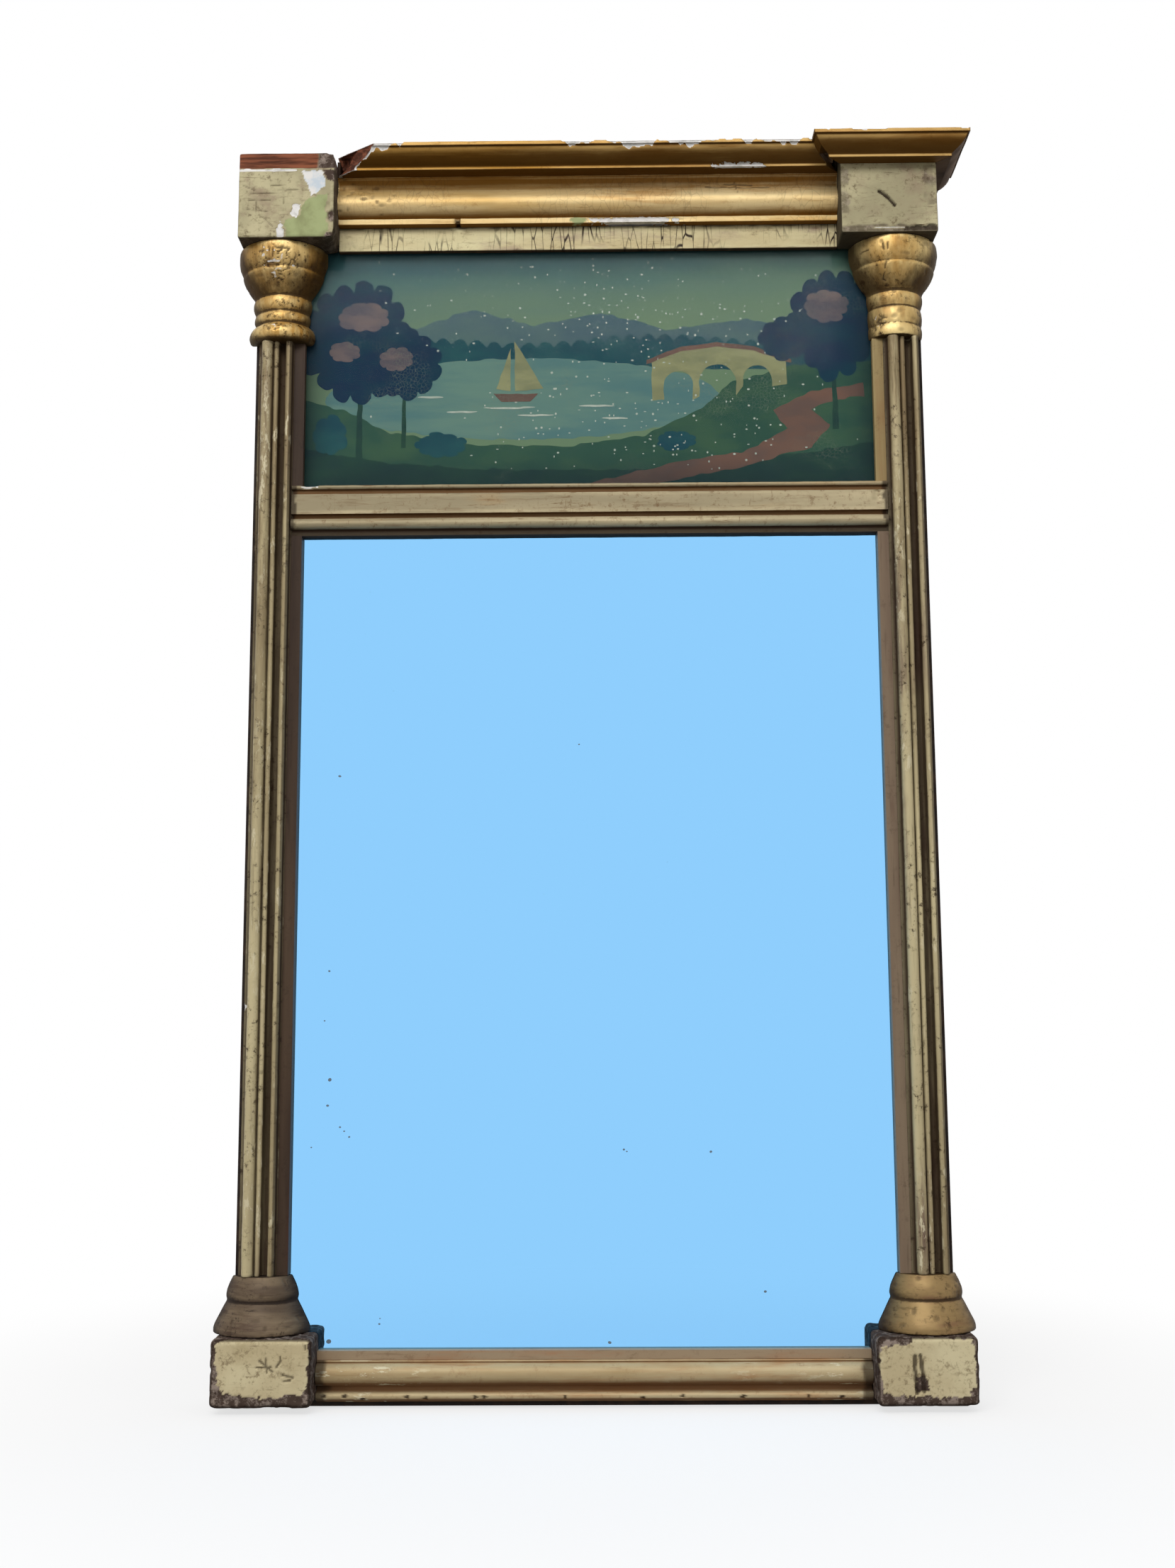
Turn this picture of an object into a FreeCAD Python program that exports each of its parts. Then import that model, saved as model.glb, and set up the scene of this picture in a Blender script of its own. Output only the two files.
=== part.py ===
import FreeCAD, Part
import math
import os
from FreeCAD import Vector

os.makedirs("parts", exist_ok=True)

# All sizes are millimetres. X runs to the right, Y runs back to the wall at zero, Z runs up.
# Heights are worked out from the foot of the frame, and save() drops them to the wall mount.

# Pine carcass
frame_width = 504.0
frame_height = 911.0
carcass_depth = 20.0
stile_width = 30.0
foot_rail_height = 33.0
picture_height = 191.0
divider_height = 33.0
tenon_end_wood = 10.0
tenon_thickness = 8.0
tenon_shoulder = 4.0
tenon_back = 8.0
rebate_width = 8.0

# Corner blocks
block_overhang = 10.5
block_depth = 30.0
upper_block_width = 72.5
upper_block_top_drop = 2.9
upper_block_round = 1.6
lower_block_foot = 4.0
lower_block_width = 70.0
lower_block_height = 46.5
lower_block_round = 4.0

# Columns: a moulded shaft between a turned base and a turned capital
shaft_width = 27.0
shaft_depth = 14.0
turning_inset = 30.0
turning_axis_depth = 7.0
capital_height = 74.0
capital_half_width = 36.0
base_height = 38.5
base_half_width = 35.0

# Mouldings and sight slips
frieze_liner_height = 19.0
frieze_liner_depth = 4.0
frieze_height = 35.0
frieze_depth = 16.0
mid_height = 38.7
mid_depth = 10.5
foot_moulding_height = 28.0
foot_moulding_depth = 14.0
foot_slip_height = 6.0
slip_width = 8.0
slip_depth = 6.0
sight_lap = 5.0

# Crown: a long run broken off at its left mitre, and a break forward over the right block
crown_height = 16.5
crown_lap = 10.0
crown_overhang = 21.5
crown_step = 13.0
crown_left_loss = 8.0

# Glass and what holds it
glass_thickness = 3.0
glass_edge_gap = 0.5
film_thickness = 0.3
film_side_inset = 6.0
film_end_inset = 1.0
glass_block_side = 5.0
glass_block_length = 26.0
upper_glass_blocks_per_side = 3
lower_glass_blocks_per_side = 5
backboard_thickness = 6.0
backboard_recess = 1.0
backboard_gap = 0.5

# Fastenings
fastening_clearance = 0.3
joint_clearance = 0.2
nail_radius = 0.8
nail_length = 13.0
nail_head_radius = 2.0
nail_head_thickness = 0.7
upper_nails_per_side = 3
lower_nails_per_side = 6
nails_per_plank_end = 2
dowel_radius = 2.5
dowel_in_block = 16.0
dowel_in_carcass = 10.0
upper_dowel_spacing = 36.0
lower_dowel_spacing = 20.0
crown_block_length = 42.0
crown_block_depth = 14.0
crown_block_height = 5.5
crown_block_count = 4

# Hanger plates let into the back of the stiles
hanger_drop = 46.0
hanger_plate_width = 14.0
hanger_plate_length = 52.0
hanger_plate_thickness = 2.0
hanger_hole_radius = 4.0
hanger_pocket_radius = 6.0
hanger_pocket_depth = 10.0
hanger_screw_spacing = 38.0
screw_radius = 1.5
screw_length = 12.0
screw_head_radius = 3.0
screw_head_thickness = 1.2
screw_slot_width = 0.7
screw_slot_depth = 0.5

overrun = 20.0

# Outlines in shares of the moulding's width and depth; each run is a line, an arc or a curve
shaft_shares = [
    [(0, 0), (0, 0.42)],
    [(0, 0.42), (0.1, 0.48)],
    [(0.1, 0.48), (0.105, 0.7)],
    [(0.105, 0.7), (0.265, 1), (0.425, 0.7)],
    [(0.425, 0.7), (0.44, 0.62)],
    [(0.44, 0.62), (0.515, 0.76), (0.59, 0.62)],
    [(0.59, 0.62), (0.6, 0.44)],
    [(0.6, 0.44), (0.685, 0.29), (0.77, 0.44)],
    [(0.77, 0.44), (0.78, 0.68)],
    [(0.78, 0.68), (0.875, 0.86), (0.97, 0.68)],
    [(0.97, 0.68), (0.975, 0.46)],
    [(0.975, 0.46), (1, 0.42)],
    [(1, 0.42), (1, 0)],
]
foot_shares = [
    [(0, 0), (0, 0.48)],
    [(0, 0.48), (0.03, 0.54), (0.06, 0.5)],
    [(0.06, 0.5), (0.07, 0.62)],
    [(0.07, 0.62), (0.335, 1), (0.6, 0.62)],
    [(0.6, 0.62), (0.61, 0.44)],
    [(0.61, 0.44), (0.675, 0.32), (0.74, 0.44)],
    [(0.74, 0.44), (0.75, 0.6)],
    [(0.75, 0.6), (0.85, 0.79), (0.95, 0.6)],
    [(0.95, 0.6), (0.96, 0.46)],
    [(0.96, 0.46), (1, 0.42)],
    [(1, 0.42), (1, 0)],
]
mid_shares = [
    [(0, 0), (0, 0.5)],
    [(0, 0.5), (0.11, 0.5)],
    [(0.11, 0.5), (0.13, 0.78), (0.2, 0.98), (0.28, 0.92), (0.335, 0.6)],
    [(0.335, 0.6), (0.345, 0.48)],
    [(0.345, 0.48), (0.41, 0.48)],
    [(0.41, 0.48), (0.415, 0.8)],
    [(0.415, 0.8), (0.815, 0.76)],
    [(0.815, 0.76), (0.82, 0.56)],
    [(0.82, 0.56), (0.9, 0.56)],
    [(0.9, 0.56), (0.905, 0.65)],
    [(0.905, 0.65), (0.95, 0.81), (0.995, 0.65)],
    [(0.995, 0.65), (1, 0.5)],
    [(1, 0.5), (1, 0)],
]
frieze_shares = [
    [(0, 0), (0, 0.62)],
    [(0, 0.62), (0.12, 0.64)],
    [(0.12, 0.64), (0.14, 0.54)],
    [(0.14, 0.54), (0.2, 0.76), (0.34, 0.96), (0.5, 0.99), (0.66, 0.88), (0.8, 0.77), (0.9, 0.8), (1, 1)],
    [(1, 1), (1, 0)],
]
crown_shares = [
    [(0, 0), (0.45, 0.01)],
    [(0.45, 0.01), (0.46, 0.15)],
    [(0.46, 0.15), (0.5, 0.19)],
    [(0.5, 0.19), (0.6, 0.27), (0.72, 0.39), (0.83, 0.54), (0.9, 0.68), (0.935, 0.81)],
    [(0.935, 0.81), (1, 0.82)],
    [(1, 0.82), (1, 1)],
]

# Turned outlines: shares of the half width on the carcass face, and of the height from the foot
neck_left_shares = [
    [(0.63, 0), (0.69, 0.03), (0.71, 0.09), (0.68, 0.14), (0.6, 0.185)],
    [(0.6, 0.185), (0.57, 0.2)],
    [(0.57, 0.2), (0.6, 0.23), (0.605, 0.27), (0.585, 0.31)],
    [(0.585, 0.31), (0.575, 0.32)],
    [(0.575, 0.32), (0.615, 0.36), (0.63, 0.42), (0.615, 0.47)],
    [(0.615, 0.47), (0.6, 0.48)],
]
neck_right_shares = [
    [(0.56, 0), (0.575, 0.03), (0.58, 0.08), (0.57, 0.12)],
    [(0.57, 0.12), (0.56, 0.125)],
    [(0.56, 0.125), (0.58, 0.17), (0.59, 0.23), (0.575, 0.3)],
    [(0.575, 0.3), (0.56, 0.31)],
    [(0.56, 0.31), (0.59, 0.36), (0.605, 0.42), (0.595, 0.465)],
    [(0.595, 0.465), (0.6, 0.48)],
]
bell_shares = [
    [(0.6, 0.48), (0.69, 0.54), (0.79, 0.62), (0.87, 0.72)],
    [(0.87, 0.72), (0.855, 0.73)],
    [(0.855, 0.73), (0.91, 0.79), (0.945, 0.87), (0.95, 0.94), (0.94, 1)],
]
base_shares = [
    [(0.98, 0), (0.98, 0.07)],
    [(0.98, 0.07), (0.955, 0.15), (0.9, 0.25), (0.81, 0.41), (0.735, 0.54)],
    [(0.735, 0.54), (0.715, 0.57)],
    [(0.715, 0.57), (0.735, 0.63), (0.73, 0.71), (0.675, 0.86), (0.6, 1)],
]

# Places that several pieces share
carcass_face = -carcass_depth
half_frame = frame_width / 2
stile_inner = half_frame - stile_width
block_outer = half_frame + block_overhang
block_face = carcass_face - block_depth
upper_block_inner = block_outer - upper_block_width
lower_block_inner = block_outer - lower_block_width
top_rail_height = frieze_liner_height - sight_lap + frieze_height + crown_lap
top_rail_foot = frame_height - top_rail_height
divider_top = top_rail_foot - picture_height
divider_foot = divider_top - divider_height
tenon_length = stile_width - tenon_end_wood
lower_block_top = lower_block_foot + lower_block_height
shaft_foot = lower_block_top + base_height
mid_foot = divider_foot - sight_lap
mid_top = mid_foot + mid_height
liner_foot = top_rail_foot - sight_lap
upper_block_foot = liner_foot
shaft_top = upper_block_foot - capital_height
frieze_foot = liner_foot + frieze_liner_height
crown_foot = frieze_foot + frieze_height
upper_block_top = crown_foot + crown_height - upper_block_top_drop
crown_plane = block_face + crown_step
foot_moulding_top = lower_block_foot + foot_moulding_height
glass_back = carcass_face + glass_thickness
backboard_back = -backboard_recess
backboard_face = backboard_back - backboard_thickness
mount_height = top_rail_foot + top_rail_height / 2
hanger_x = (stile_inner + rebate_width + half_frame) / 2
hanger_height = top_rail_foot - hanger_drop
dowel_x = (stile_inner + tenon_length + half_frame) / 2


def save(name, shape):
    """Write one node with the wall mount as its origin."""
    placed = shape.copy()
    placed.translate(Vector(0, 0, -mount_height))
    placed.exportStep("parts/" + name + ".step")


def box(x0, x1, y0, y1, z0, z1):
    return Part.makeBox(x1 - x0, y1 - y0, z1 - z0, Vector(x0, y0, z0))


def side_box(side, near, far, y0, y1, z0, z1):
    """A box from near to far, measured out from the centre line on one side."""
    ends = sorted((side * near, side * far))
    return box(ends[0], ends[1], y0, y1, z0, z1)


def rod(x, y, z, radius, length):
    """A round bar that runs forward from its back end."""
    return Part.makeCylinder(radius, length, Vector(x, y, z), Vector(0, -1, 0))


def run_edges(runs, place):
    """Edges through runs of shares, each put in space by the place function."""
    edges = []
    for run in runs:
        points = [place(*share) for share in run]
        if len(points) == 2:
            edges.append(Part.makeLine(*points))
        elif len(points) == 3:
            edges.append(Part.Arc(*points).toShape())
        else:
            curve = Part.BSplineCurve()
            curve.interpolate(points)
            edges.append(curve.toShape())
    return edges


def closed_face(edges, corners):
    """A face whose outline runs along the edges and home through straight corners."""
    stops = [edges[-1].Vertexes[-1].Point] + corners + [edges[0].Vertexes[0].Point]
    lines = [Part.makeLine(a, b) for a, b in zip(stops, stops[1:])]
    return Part.Face(Part.Wire(edges + lines))


def strip(runs, place, length):
    """A moulding drawn by place and run along the length vector."""
    return closed_face(run_edges(runs, place), []).extrude(length)


# Carcass
def opening_rebates():
    """The two steps cut round the back of the openings for the backboards."""
    half = stile_inner + rebate_width
    spans = [(divider_top, top_rail_foot), (foot_rail_height, divider_foot)]
    return [box(-half, half, backboard_face, overrun, low - rebate_width, high + rebate_width)
            for low, high in spans]


def tenon(side, low, high, gap):
    """A rail's tenon, or its mortise when a gap is given."""
    back = -tenon_back + gap
    front = -tenon_back - tenon_thickness - gap
    return side_box(side, stile_inner, stile_inner + tenon_length + gap, front, back,
                    low + tenon_shoulder - gap, high - tenon_shoulder + gap)


def rail_spans():
    return {
        "top_rail": (top_rail_foot, frame_height),
        "divider_rail": (divider_foot, divider_top),
        "foot_rail": (0, foot_rail_height),
    }


def rail(low, high):
    body = box(-stile_inner, stile_inner, carcass_face, 0, low, high)
    for side in (-1, 1):
        body = body.fuse(tenon(side, low, high, 0))
    for cut in opening_rebates() + nail_holes():
        body = body.cut(cut)
    return body.removeSplitter()


def stile(side):
    body = side_box(side, stile_inner, half_frame, carcass_face, 0, 0, frame_height)
    cuts = opening_rebates() + nail_holes()
    cuts += [tenon(side, low, high, joint_clearance) for low, high in rail_spans().values()]
    cuts += dowels(side, fastening_clearance) + hanger_cuts(side)
    for cut in cuts:
        body = body.cut(cut)
    return body


# Blocks and their dowels
def block_edges(shape):
    """All edges of a block but those on its back face."""
    return [edge for edge in shape.Edges
            if min(vertex.Point.y for vertex in edge.Vertexes) < carcass_face]


def block(side, inner, low, high, round_radius):
    body = side_box(side, inner, block_outer, block_face, carcass_face, low, high)
    body = body.makeFillet(round_radius, block_edges(body))
    for cut in dowels(side, fastening_clearance):
        body = body.cut(cut)
    return body


def dowels(side, gap):
    """The pins between blocks and carcass on one side, or their holes when a gap is given."""
    length = dowel_in_block + dowel_in_carcass + 2 * gap
    back = carcass_face + dowel_in_carcass + gap
    heights = []
    for middle, spacing in (((upper_block_foot + upper_block_top) / 2, upper_dowel_spacing),
                            ((lower_block_foot + lower_block_top) / 2, lower_dowel_spacing)):
        heights += [middle - spacing / 2, middle + spacing / 2]
    return [rod(side * dowel_x, back, height, dowel_radius + gap, length) for height in heights]


# Columns
def turning(side, foot, height, half_width, runs):
    """The front slice of a turned piece whose axis lies behind the carcass face."""
    x = side * (block_outer - turning_inset)
    y = carcass_face + turning_axis_depth

    def place(width_share, height_share):
        radius = math.hypot(half_width * width_share, turning_axis_depth)
        return Vector(x + radius, y, foot + height * height_share)

    axis_ends = [Vector(x, y, foot + height), Vector(x, y, foot)]
    whole = closed_face(run_edges(runs, place), axis_ends).revolve(
        Vector(x, y, foot), Vector(0, 0, 1), 360)
    reach = 2 * half_width
    return whole.common(box(x - reach, x + reach, carcass_face - reach, carcass_face,
                            foot, foot + height))


def shaft(side):
    """Both shafts are cut from one moulding and keep its left and right."""
    left = min(side * stile_inner, side * (stile_inner + shaft_width))

    def place(across, out):
        return Vector(left + shaft_width * across, carcass_face - shaft_depth * out, shaft_foot)

    return strip(shaft_shares, place, Vector(0, 0, shaft_top - shaft_foot))


# Mouldings
def foot_moulding():
    def place(across, out):
        return Vector(-lower_block_inner, carcass_face - foot_moulding_depth * out,
                      foot_moulding_top - foot_moulding_height * across)

    return strip(foot_shares, place, Vector(2 * lower_block_inner, 0, 0))


def mid_moulding():
    def place(up, out):
        return Vector(-stile_inner, carcass_face - mid_depth * out, mid_foot + mid_height * up)

    return strip(mid_shares, place, Vector(2 * stile_inner, 0, 0))


def frieze_moulding():
    def place(up, out):
        return Vector(-upper_block_inner, carcass_face - frieze_depth * out,
                      frieze_foot + frieze_height * up)

    return strip(frieze_shares, place, Vector(2 * upper_block_inner, 0, 0))


def frieze_liner():
    return box(-upper_block_inner, upper_block_inner, carcass_face - frieze_liner_depth,
               carcass_face, liner_foot, frieze_foot)


def slip(side, low, high):
    return side_box(side, stile_inner - slip_width, stile_inner, carcass_face - slip_depth,
                    carcass_face, low, high)


def foot_slip():
    return box(-lower_block_inner, lower_block_inner, carcass_face - slip_depth, carcass_face,
               foot_moulding_top, foot_moulding_top + foot_slip_height)


# Crown
def crown_face(origin, outward, back):
    """The crown's section, standing out from a plane and reaching back from it."""
    def place(out, up):
        return origin + outward * (crown_overhang * out) + Vector(0, 0, crown_height * up)

    inner = origin - outward * back
    corners = [inner + Vector(0, 0, crown_height), inner]
    if back == 0:
        corners = corners[:1]
    return closed_face(run_edges(crown_shares, place), corners)


def plan_prism(points):
    """An upright prism over a plan outline, for cutting the crown to its mitres."""
    outline = [Vector(x, y, crown_foot - overrun) for x, y in points]
    return Part.Face(Part.makePolygon(outline + outline[:1])).extrude(
        Vector(0, 0, crown_height + 2 * overrun))


def crown_main():
    inner = upper_block_inner
    reach = crown_overhang + overrun
    slope = (crown_overhang + crown_left_loss) / crown_overhang
    run = crown_face(Vector(-inner, crown_plane, crown_foot), Vector(0, -1, 0),
                     carcass_face - crown_plane).extrude(Vector(2 * inner, 0, 0))
    return run.common(plan_prism([
        (-inner, carcass_face), (inner, carcass_face), (inner, crown_plane),
        (inner - reach, crown_plane - reach), (slope * reach - inner, crown_plane - reach),
        (-inner, crown_plane)]))


def crown_inner_return():
    inner = upper_block_inner
    reach = crown_overhang + overrun
    run = crown_face(Vector(inner, crown_plane, crown_foot), Vector(-1, 0, 0), 0).extrude(
        Vector(0, -crown_step - reach, 0))
    return run.common(plan_prism([
        (inner, crown_plane), (inner, block_face), (inner - reach, block_face - reach),
        (inner - reach, crown_plane - reach)]))


def crown_break_front():
    inner = upper_block_inner
    reach = crown_overhang + overrun
    run = crown_face(Vector(inner - reach, block_face, crown_foot), Vector(0, -1, 0), 0).extrude(
        Vector(upper_block_width + 2 * reach, 0, 0))
    return run.common(plan_prism([
        (inner, block_face), (block_outer, block_face),
        (block_outer + reach, block_face - reach), (inner - reach, block_face - reach)]))


def crown_outer_return():
    reach = crown_overhang + overrun
    run = crown_face(Vector(block_outer, block_face - reach, crown_foot), Vector(1, 0, 0), 0).extrude(
        Vector(0, reach - block_face, 0))
    return run.common(plan_prism([
        (block_outer, block_face), (block_outer, 0),
        (block_outer + reach, 0), (block_outer + reach, block_face - reach)]))


def crown_return_filler():
    """A strip on the side of the right stile that backs the outer return."""
    return box(half_frame, block_outer, carcass_face, 0, crown_foot, frame_height)


def crown_glue_blocks():
    """Small blocks on the carcass top that back the long run of the crown."""
    pitch = 2 * stile_inner / crown_block_count
    starts = [pitch * (index + (1 - crown_block_count) / 2) - crown_block_length / 2
              for index in range(crown_block_count)]
    return [box(start, start + crown_block_length, carcass_face, carcass_face + crown_block_depth,
                frame_height, frame_height + crown_block_height) for start in starts]


# Glass
def glass(low, high):
    half = stile_inner - glass_edge_gap
    return box(-half, half, carcass_face, glass_back, low + glass_edge_gap, high - glass_edge_gap)


def paint_film():
    half = stile_inner - glass_edge_gap - film_side_inset
    inset = glass_edge_gap + film_end_inset
    return box(-half, half, glass_back, glass_back + film_thickness,
               divider_top + inset, top_rail_foot - inset)


def glass_block(side, height):
    """A three-cornered glue block in the angle of a stile and the back of the glass."""
    corner = Vector(side * stile_inner, glass_back, height - glass_block_length / 2)
    outline = [corner, corner - Vector(side * glass_block_side, 0, 0),
               Vector(corner.x, backboard_face, corner.z), corner]
    return Part.Face(Part.makePolygon(outline)).extrude(Vector(0, 0, glass_block_length))


def spread(low, high, count):
    """Evenly spaced places between two limits, half a pitch in from each."""
    pitch = (high - low) / count
    return [low + pitch * (index + 0.5) for index in range(count)]


def glass_blocks(low, high, count):
    return [glass_block(side, height) for side in (-1, 1) for height in spread(low, high, count)]


# Backboards and nails
def backboard(x0, x1, low, high):
    body = box(x0, x1, backboard_face, backboard_back,
               low - rebate_width + backboard_gap, high + rebate_width - backboard_gap)
    for cut in nail_holes():
        body = body.cut(cut)
    return body


def upper_nail_places():
    x = stile_inner + rebate_width / 2
    heights = spread(divider_top, top_rail_foot, upper_nails_per_side)
    return [(side * x, height) for side in (-1, 1) for height in heights]


def lower_nail_places():
    x = stile_inner + rebate_width / 2
    heights = spread(foot_rail_height, divider_foot, lower_nails_per_side)
    places = [(side * x, height) for side in (-1, 1) for height in heights]
    ends = [foot_rail_height - rebate_width / 2, divider_foot + rebate_width / 2]
    across = spread(0, stile_inner, nails_per_plank_end)
    return places + [(side * x, end) for side in (-1, 1) for x in across for end in ends]


def nail(x, z):
    shank = rod(x, backboard_back, z, nail_radius, nail_length)
    head = rod(x, backboard_back + nail_head_thickness, z, nail_head_radius, nail_head_thickness)
    return shank.fuse(head).removeSplitter()


def nail_holes():
    return [rod(x, backboard_back + overrun, z, nail_radius + fastening_clearance,
                overrun + nail_length + fastening_clearance)
            for x, z in upper_nail_places() + lower_nail_places()]


# Hangers
def hanger_screw_heights():
    return [hanger_height - hanger_screw_spacing / 2, hanger_height + hanger_screw_spacing / 2]


def hanger_cuts(side):
    """The recess, nail pocket and screw holes that a stile needs for its hanger."""
    x = side * hanger_x
    half_width = hanger_plate_width / 2 + joint_clearance
    half_length = hanger_plate_length / 2 + joint_clearance
    recess = box(x - half_width, x + half_width, -hanger_plate_thickness, overrun,
                 hanger_height - half_length, hanger_height + half_length)
    pocket = rod(x, 0, hanger_height, hanger_pocket_radius, hanger_pocket_depth)
    holes = [rod(x, 0, z, screw_radius + fastening_clearance, screw_length + fastening_clearance)
             for z in hanger_screw_heights()]
    return [recess, pocket] + holes


def hanger(side):
    x = side * hanger_x
    plate = box(x - hanger_plate_width / 2, x + hanger_plate_width / 2, -hanger_plate_thickness, 0,
                hanger_height - hanger_plate_length / 2, hanger_height + hanger_plate_length / 2)
    plate = plate.cut(rod(x, overrun, hanger_height, hanger_hole_radius, 2 * overrun))
    for z in hanger_screw_heights():
        plate = plate.cut(rod(x, overrun, z, screw_radius + fastening_clearance, 2 * overrun))
        plate = plate.cut(rod(x, overrun, z, screw_head_radius + fastening_clearance,
                              overrun + screw_head_thickness))
    return plate


def screw(x, z):
    head = rod(x, 0, z, screw_head_radius, screw_head_thickness)
    shank = rod(x, -screw_head_thickness, z, screw_radius, screw_length - screw_head_thickness)
    slot = box(x - screw_head_radius, x + screw_head_radius, -screw_slot_depth, overrun,
               z - screw_slot_width / 2, z + screw_slot_width / 2)
    return head.fuse(shank).removeSplitter().cut(slot)


def main():
    for name, (low, high) in rail_spans().items():
        save(name, rail(low, high))
    for side, word, neck_shares in ((-1, "left", neck_left_shares), (1, "right", neck_right_shares)):
        save("stile_" + word, stile(side))
        save("block_upper_" + word, block(side, upper_block_inner, upper_block_foot,
                                          upper_block_top, upper_block_round))
        save("block_lower_" + word, block(side, lower_block_inner, lower_block_foot,
                                          lower_block_top, lower_block_round))
        save("capital_" + word, turning(side, shaft_top, capital_height,
                                        capital_half_width, neck_shares + bell_shares))
        save("base_" + word, turning(side, lower_block_top, base_height,
                                     base_half_width, base_shares))
        save("shaft_" + word, shaft(side))
        save("slip_upper_" + word, slip(side, mid_top, shaft_top))
        save("slip_lower_" + word, slip(side, shaft_foot, mid_foot))
        save("hanger_" + word, hanger(side))
    save("frieze_moulding", frieze_moulding())
    save("frieze_liner", frieze_liner())
    save("mid_moulding", mid_moulding())
    save("foot_moulding", foot_moulding())
    save("slip_foot", foot_slip())
    save("crown_main", crown_main())
    save("crown_inner_return", crown_inner_return())
    save("crown_break_front", crown_break_front())
    save("crown_outer_return", crown_outer_return())
    save("crown_return_filler", crown_return_filler())
    save("crown_glue_blocks", Part.makeCompound(crown_glue_blocks()))
    save("painted_glass", glass(divider_top, top_rail_foot))
    save("paint_film", paint_film())
    save("mirror_plate", glass(foot_rail_height, divider_foot))
    save("glass_blocks_upper", Part.makeCompound(
        glass_blocks(divider_top, top_rail_foot, upper_glass_blocks_per_side)))
    save("glass_blocks_lower", Part.makeCompound(
        glass_blocks(foot_rail_height, divider_foot, lower_glass_blocks_per_side)))
    board_half = stile_inner + rebate_width - backboard_gap
    save("backboard_upper", backboard(-board_half, board_half, divider_top, top_rail_foot))
    save("backboard_lower_left", backboard(-board_half, -backboard_gap / 2,
                                           foot_rail_height, divider_foot))
    save("backboard_lower_right", backboard(backboard_gap / 2, board_half,
                                            foot_rail_height, divider_foot))
    save("nails_upper", Part.makeCompound([nail(x, z) for x, z in upper_nail_places()]))
    save("nails_lower", Part.makeCompound([nail(x, z) for x, z in lower_nail_places()]))
    save("block_dowels", Part.makeCompound(dowels(-1, 0) + dowels(1, 0)))
    save("hanger_screws", Part.makeCompound(
        [screw(side * hanger_x, z) for side in (-1, 1) for z in hanger_screw_heights()]))


main()
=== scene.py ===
import math

import bmesh
import bpy
import numpy as np
from mathutils import Matrix, Vector


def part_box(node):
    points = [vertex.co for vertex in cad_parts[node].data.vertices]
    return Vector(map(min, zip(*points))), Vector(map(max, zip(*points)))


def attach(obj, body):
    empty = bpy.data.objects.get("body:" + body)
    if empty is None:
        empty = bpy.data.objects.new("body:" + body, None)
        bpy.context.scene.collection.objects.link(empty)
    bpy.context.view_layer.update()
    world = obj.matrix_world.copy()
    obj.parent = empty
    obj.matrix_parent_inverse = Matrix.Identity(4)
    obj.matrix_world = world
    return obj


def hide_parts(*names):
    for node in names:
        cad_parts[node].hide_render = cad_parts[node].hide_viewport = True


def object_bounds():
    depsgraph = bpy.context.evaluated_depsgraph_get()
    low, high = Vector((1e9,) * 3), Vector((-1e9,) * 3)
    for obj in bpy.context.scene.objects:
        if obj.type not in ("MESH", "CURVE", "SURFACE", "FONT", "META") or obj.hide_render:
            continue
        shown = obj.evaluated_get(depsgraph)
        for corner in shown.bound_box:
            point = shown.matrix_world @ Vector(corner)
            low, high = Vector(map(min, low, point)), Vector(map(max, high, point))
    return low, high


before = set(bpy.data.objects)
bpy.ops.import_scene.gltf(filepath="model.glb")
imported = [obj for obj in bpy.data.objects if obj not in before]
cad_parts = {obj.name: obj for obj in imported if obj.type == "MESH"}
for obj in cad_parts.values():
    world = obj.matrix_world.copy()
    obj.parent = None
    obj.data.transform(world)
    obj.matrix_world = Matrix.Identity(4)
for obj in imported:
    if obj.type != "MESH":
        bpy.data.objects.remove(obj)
cad_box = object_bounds()

# Sizes and damage places are millimetres in the part's frame, and meshes are written in metres.
MM = 0.001
BODY = "root"
LEFT, RIGHT = -1, 1
FRONT = [0, 2]  # the axes across and up, as seen from the front
PROFILE_STEP = 1.0
SKIN_VOXEL = 0.9


def node_box(node):
    """A CAD node's lowest and highest corners in millimetres."""
    low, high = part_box(node)
    return np.array(low) / MM, np.array(high) / MM


def new_object(name, data):
    """A new object that is linked into the scene."""
    thing = bpy.data.objects.new(name, data)
    bpy.context.scene.collection.objects.link(thing)
    return thing


# Camera at the photograph's place, from a fit of the frame's corners
IMAGE_HEIGHT = 2212
FOCAL_PIXELS = 2400
SENSOR = 36.0
EYE = Vector((9.459, -1250.92, -621.86))
PITCH, YAW, ROLL = 8.149, 0.551, -0.307


def add_camera():
    data = bpy.data.cameras.new("camera")
    data.sensor_fit = "VERTICAL"
    data.sensor_height = SENSOR
    data.lens = FOCAL_PIXELS / IMAGE_HEIGHT * SENSOR
    camera = new_object("camera", data)
    turn = (Matrix.Rotation(math.radians(YAW), 4, "Z")
            @ Matrix.Rotation(math.radians(90 + PITCH), 4, "X")
            @ Matrix.Rotation(math.radians(ROLL), 4, "Z"))
    camera.matrix_world = Matrix.Translation(EYE * MM) @ turn
    bpy.context.scene.camera = camera


# Noise and masks over arrays of points
def hashed(cell, seed):
    """An even spread of values from -1 to 1, one for each whole-numbered cell."""
    across, deep, up = cell.T
    h = (across * 73856093) ^ (deep * 19349663) ^ (up * 83492791) ^ (seed * 374761393)
    h = ((h ^ (h >> 13)) * 1274126177) & 0x7FFFFFFF
    low_bits = 0xFFFF
    return ((h ^ (h >> 16)) & low_bits) / (low_bits / 2) - 1


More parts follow.
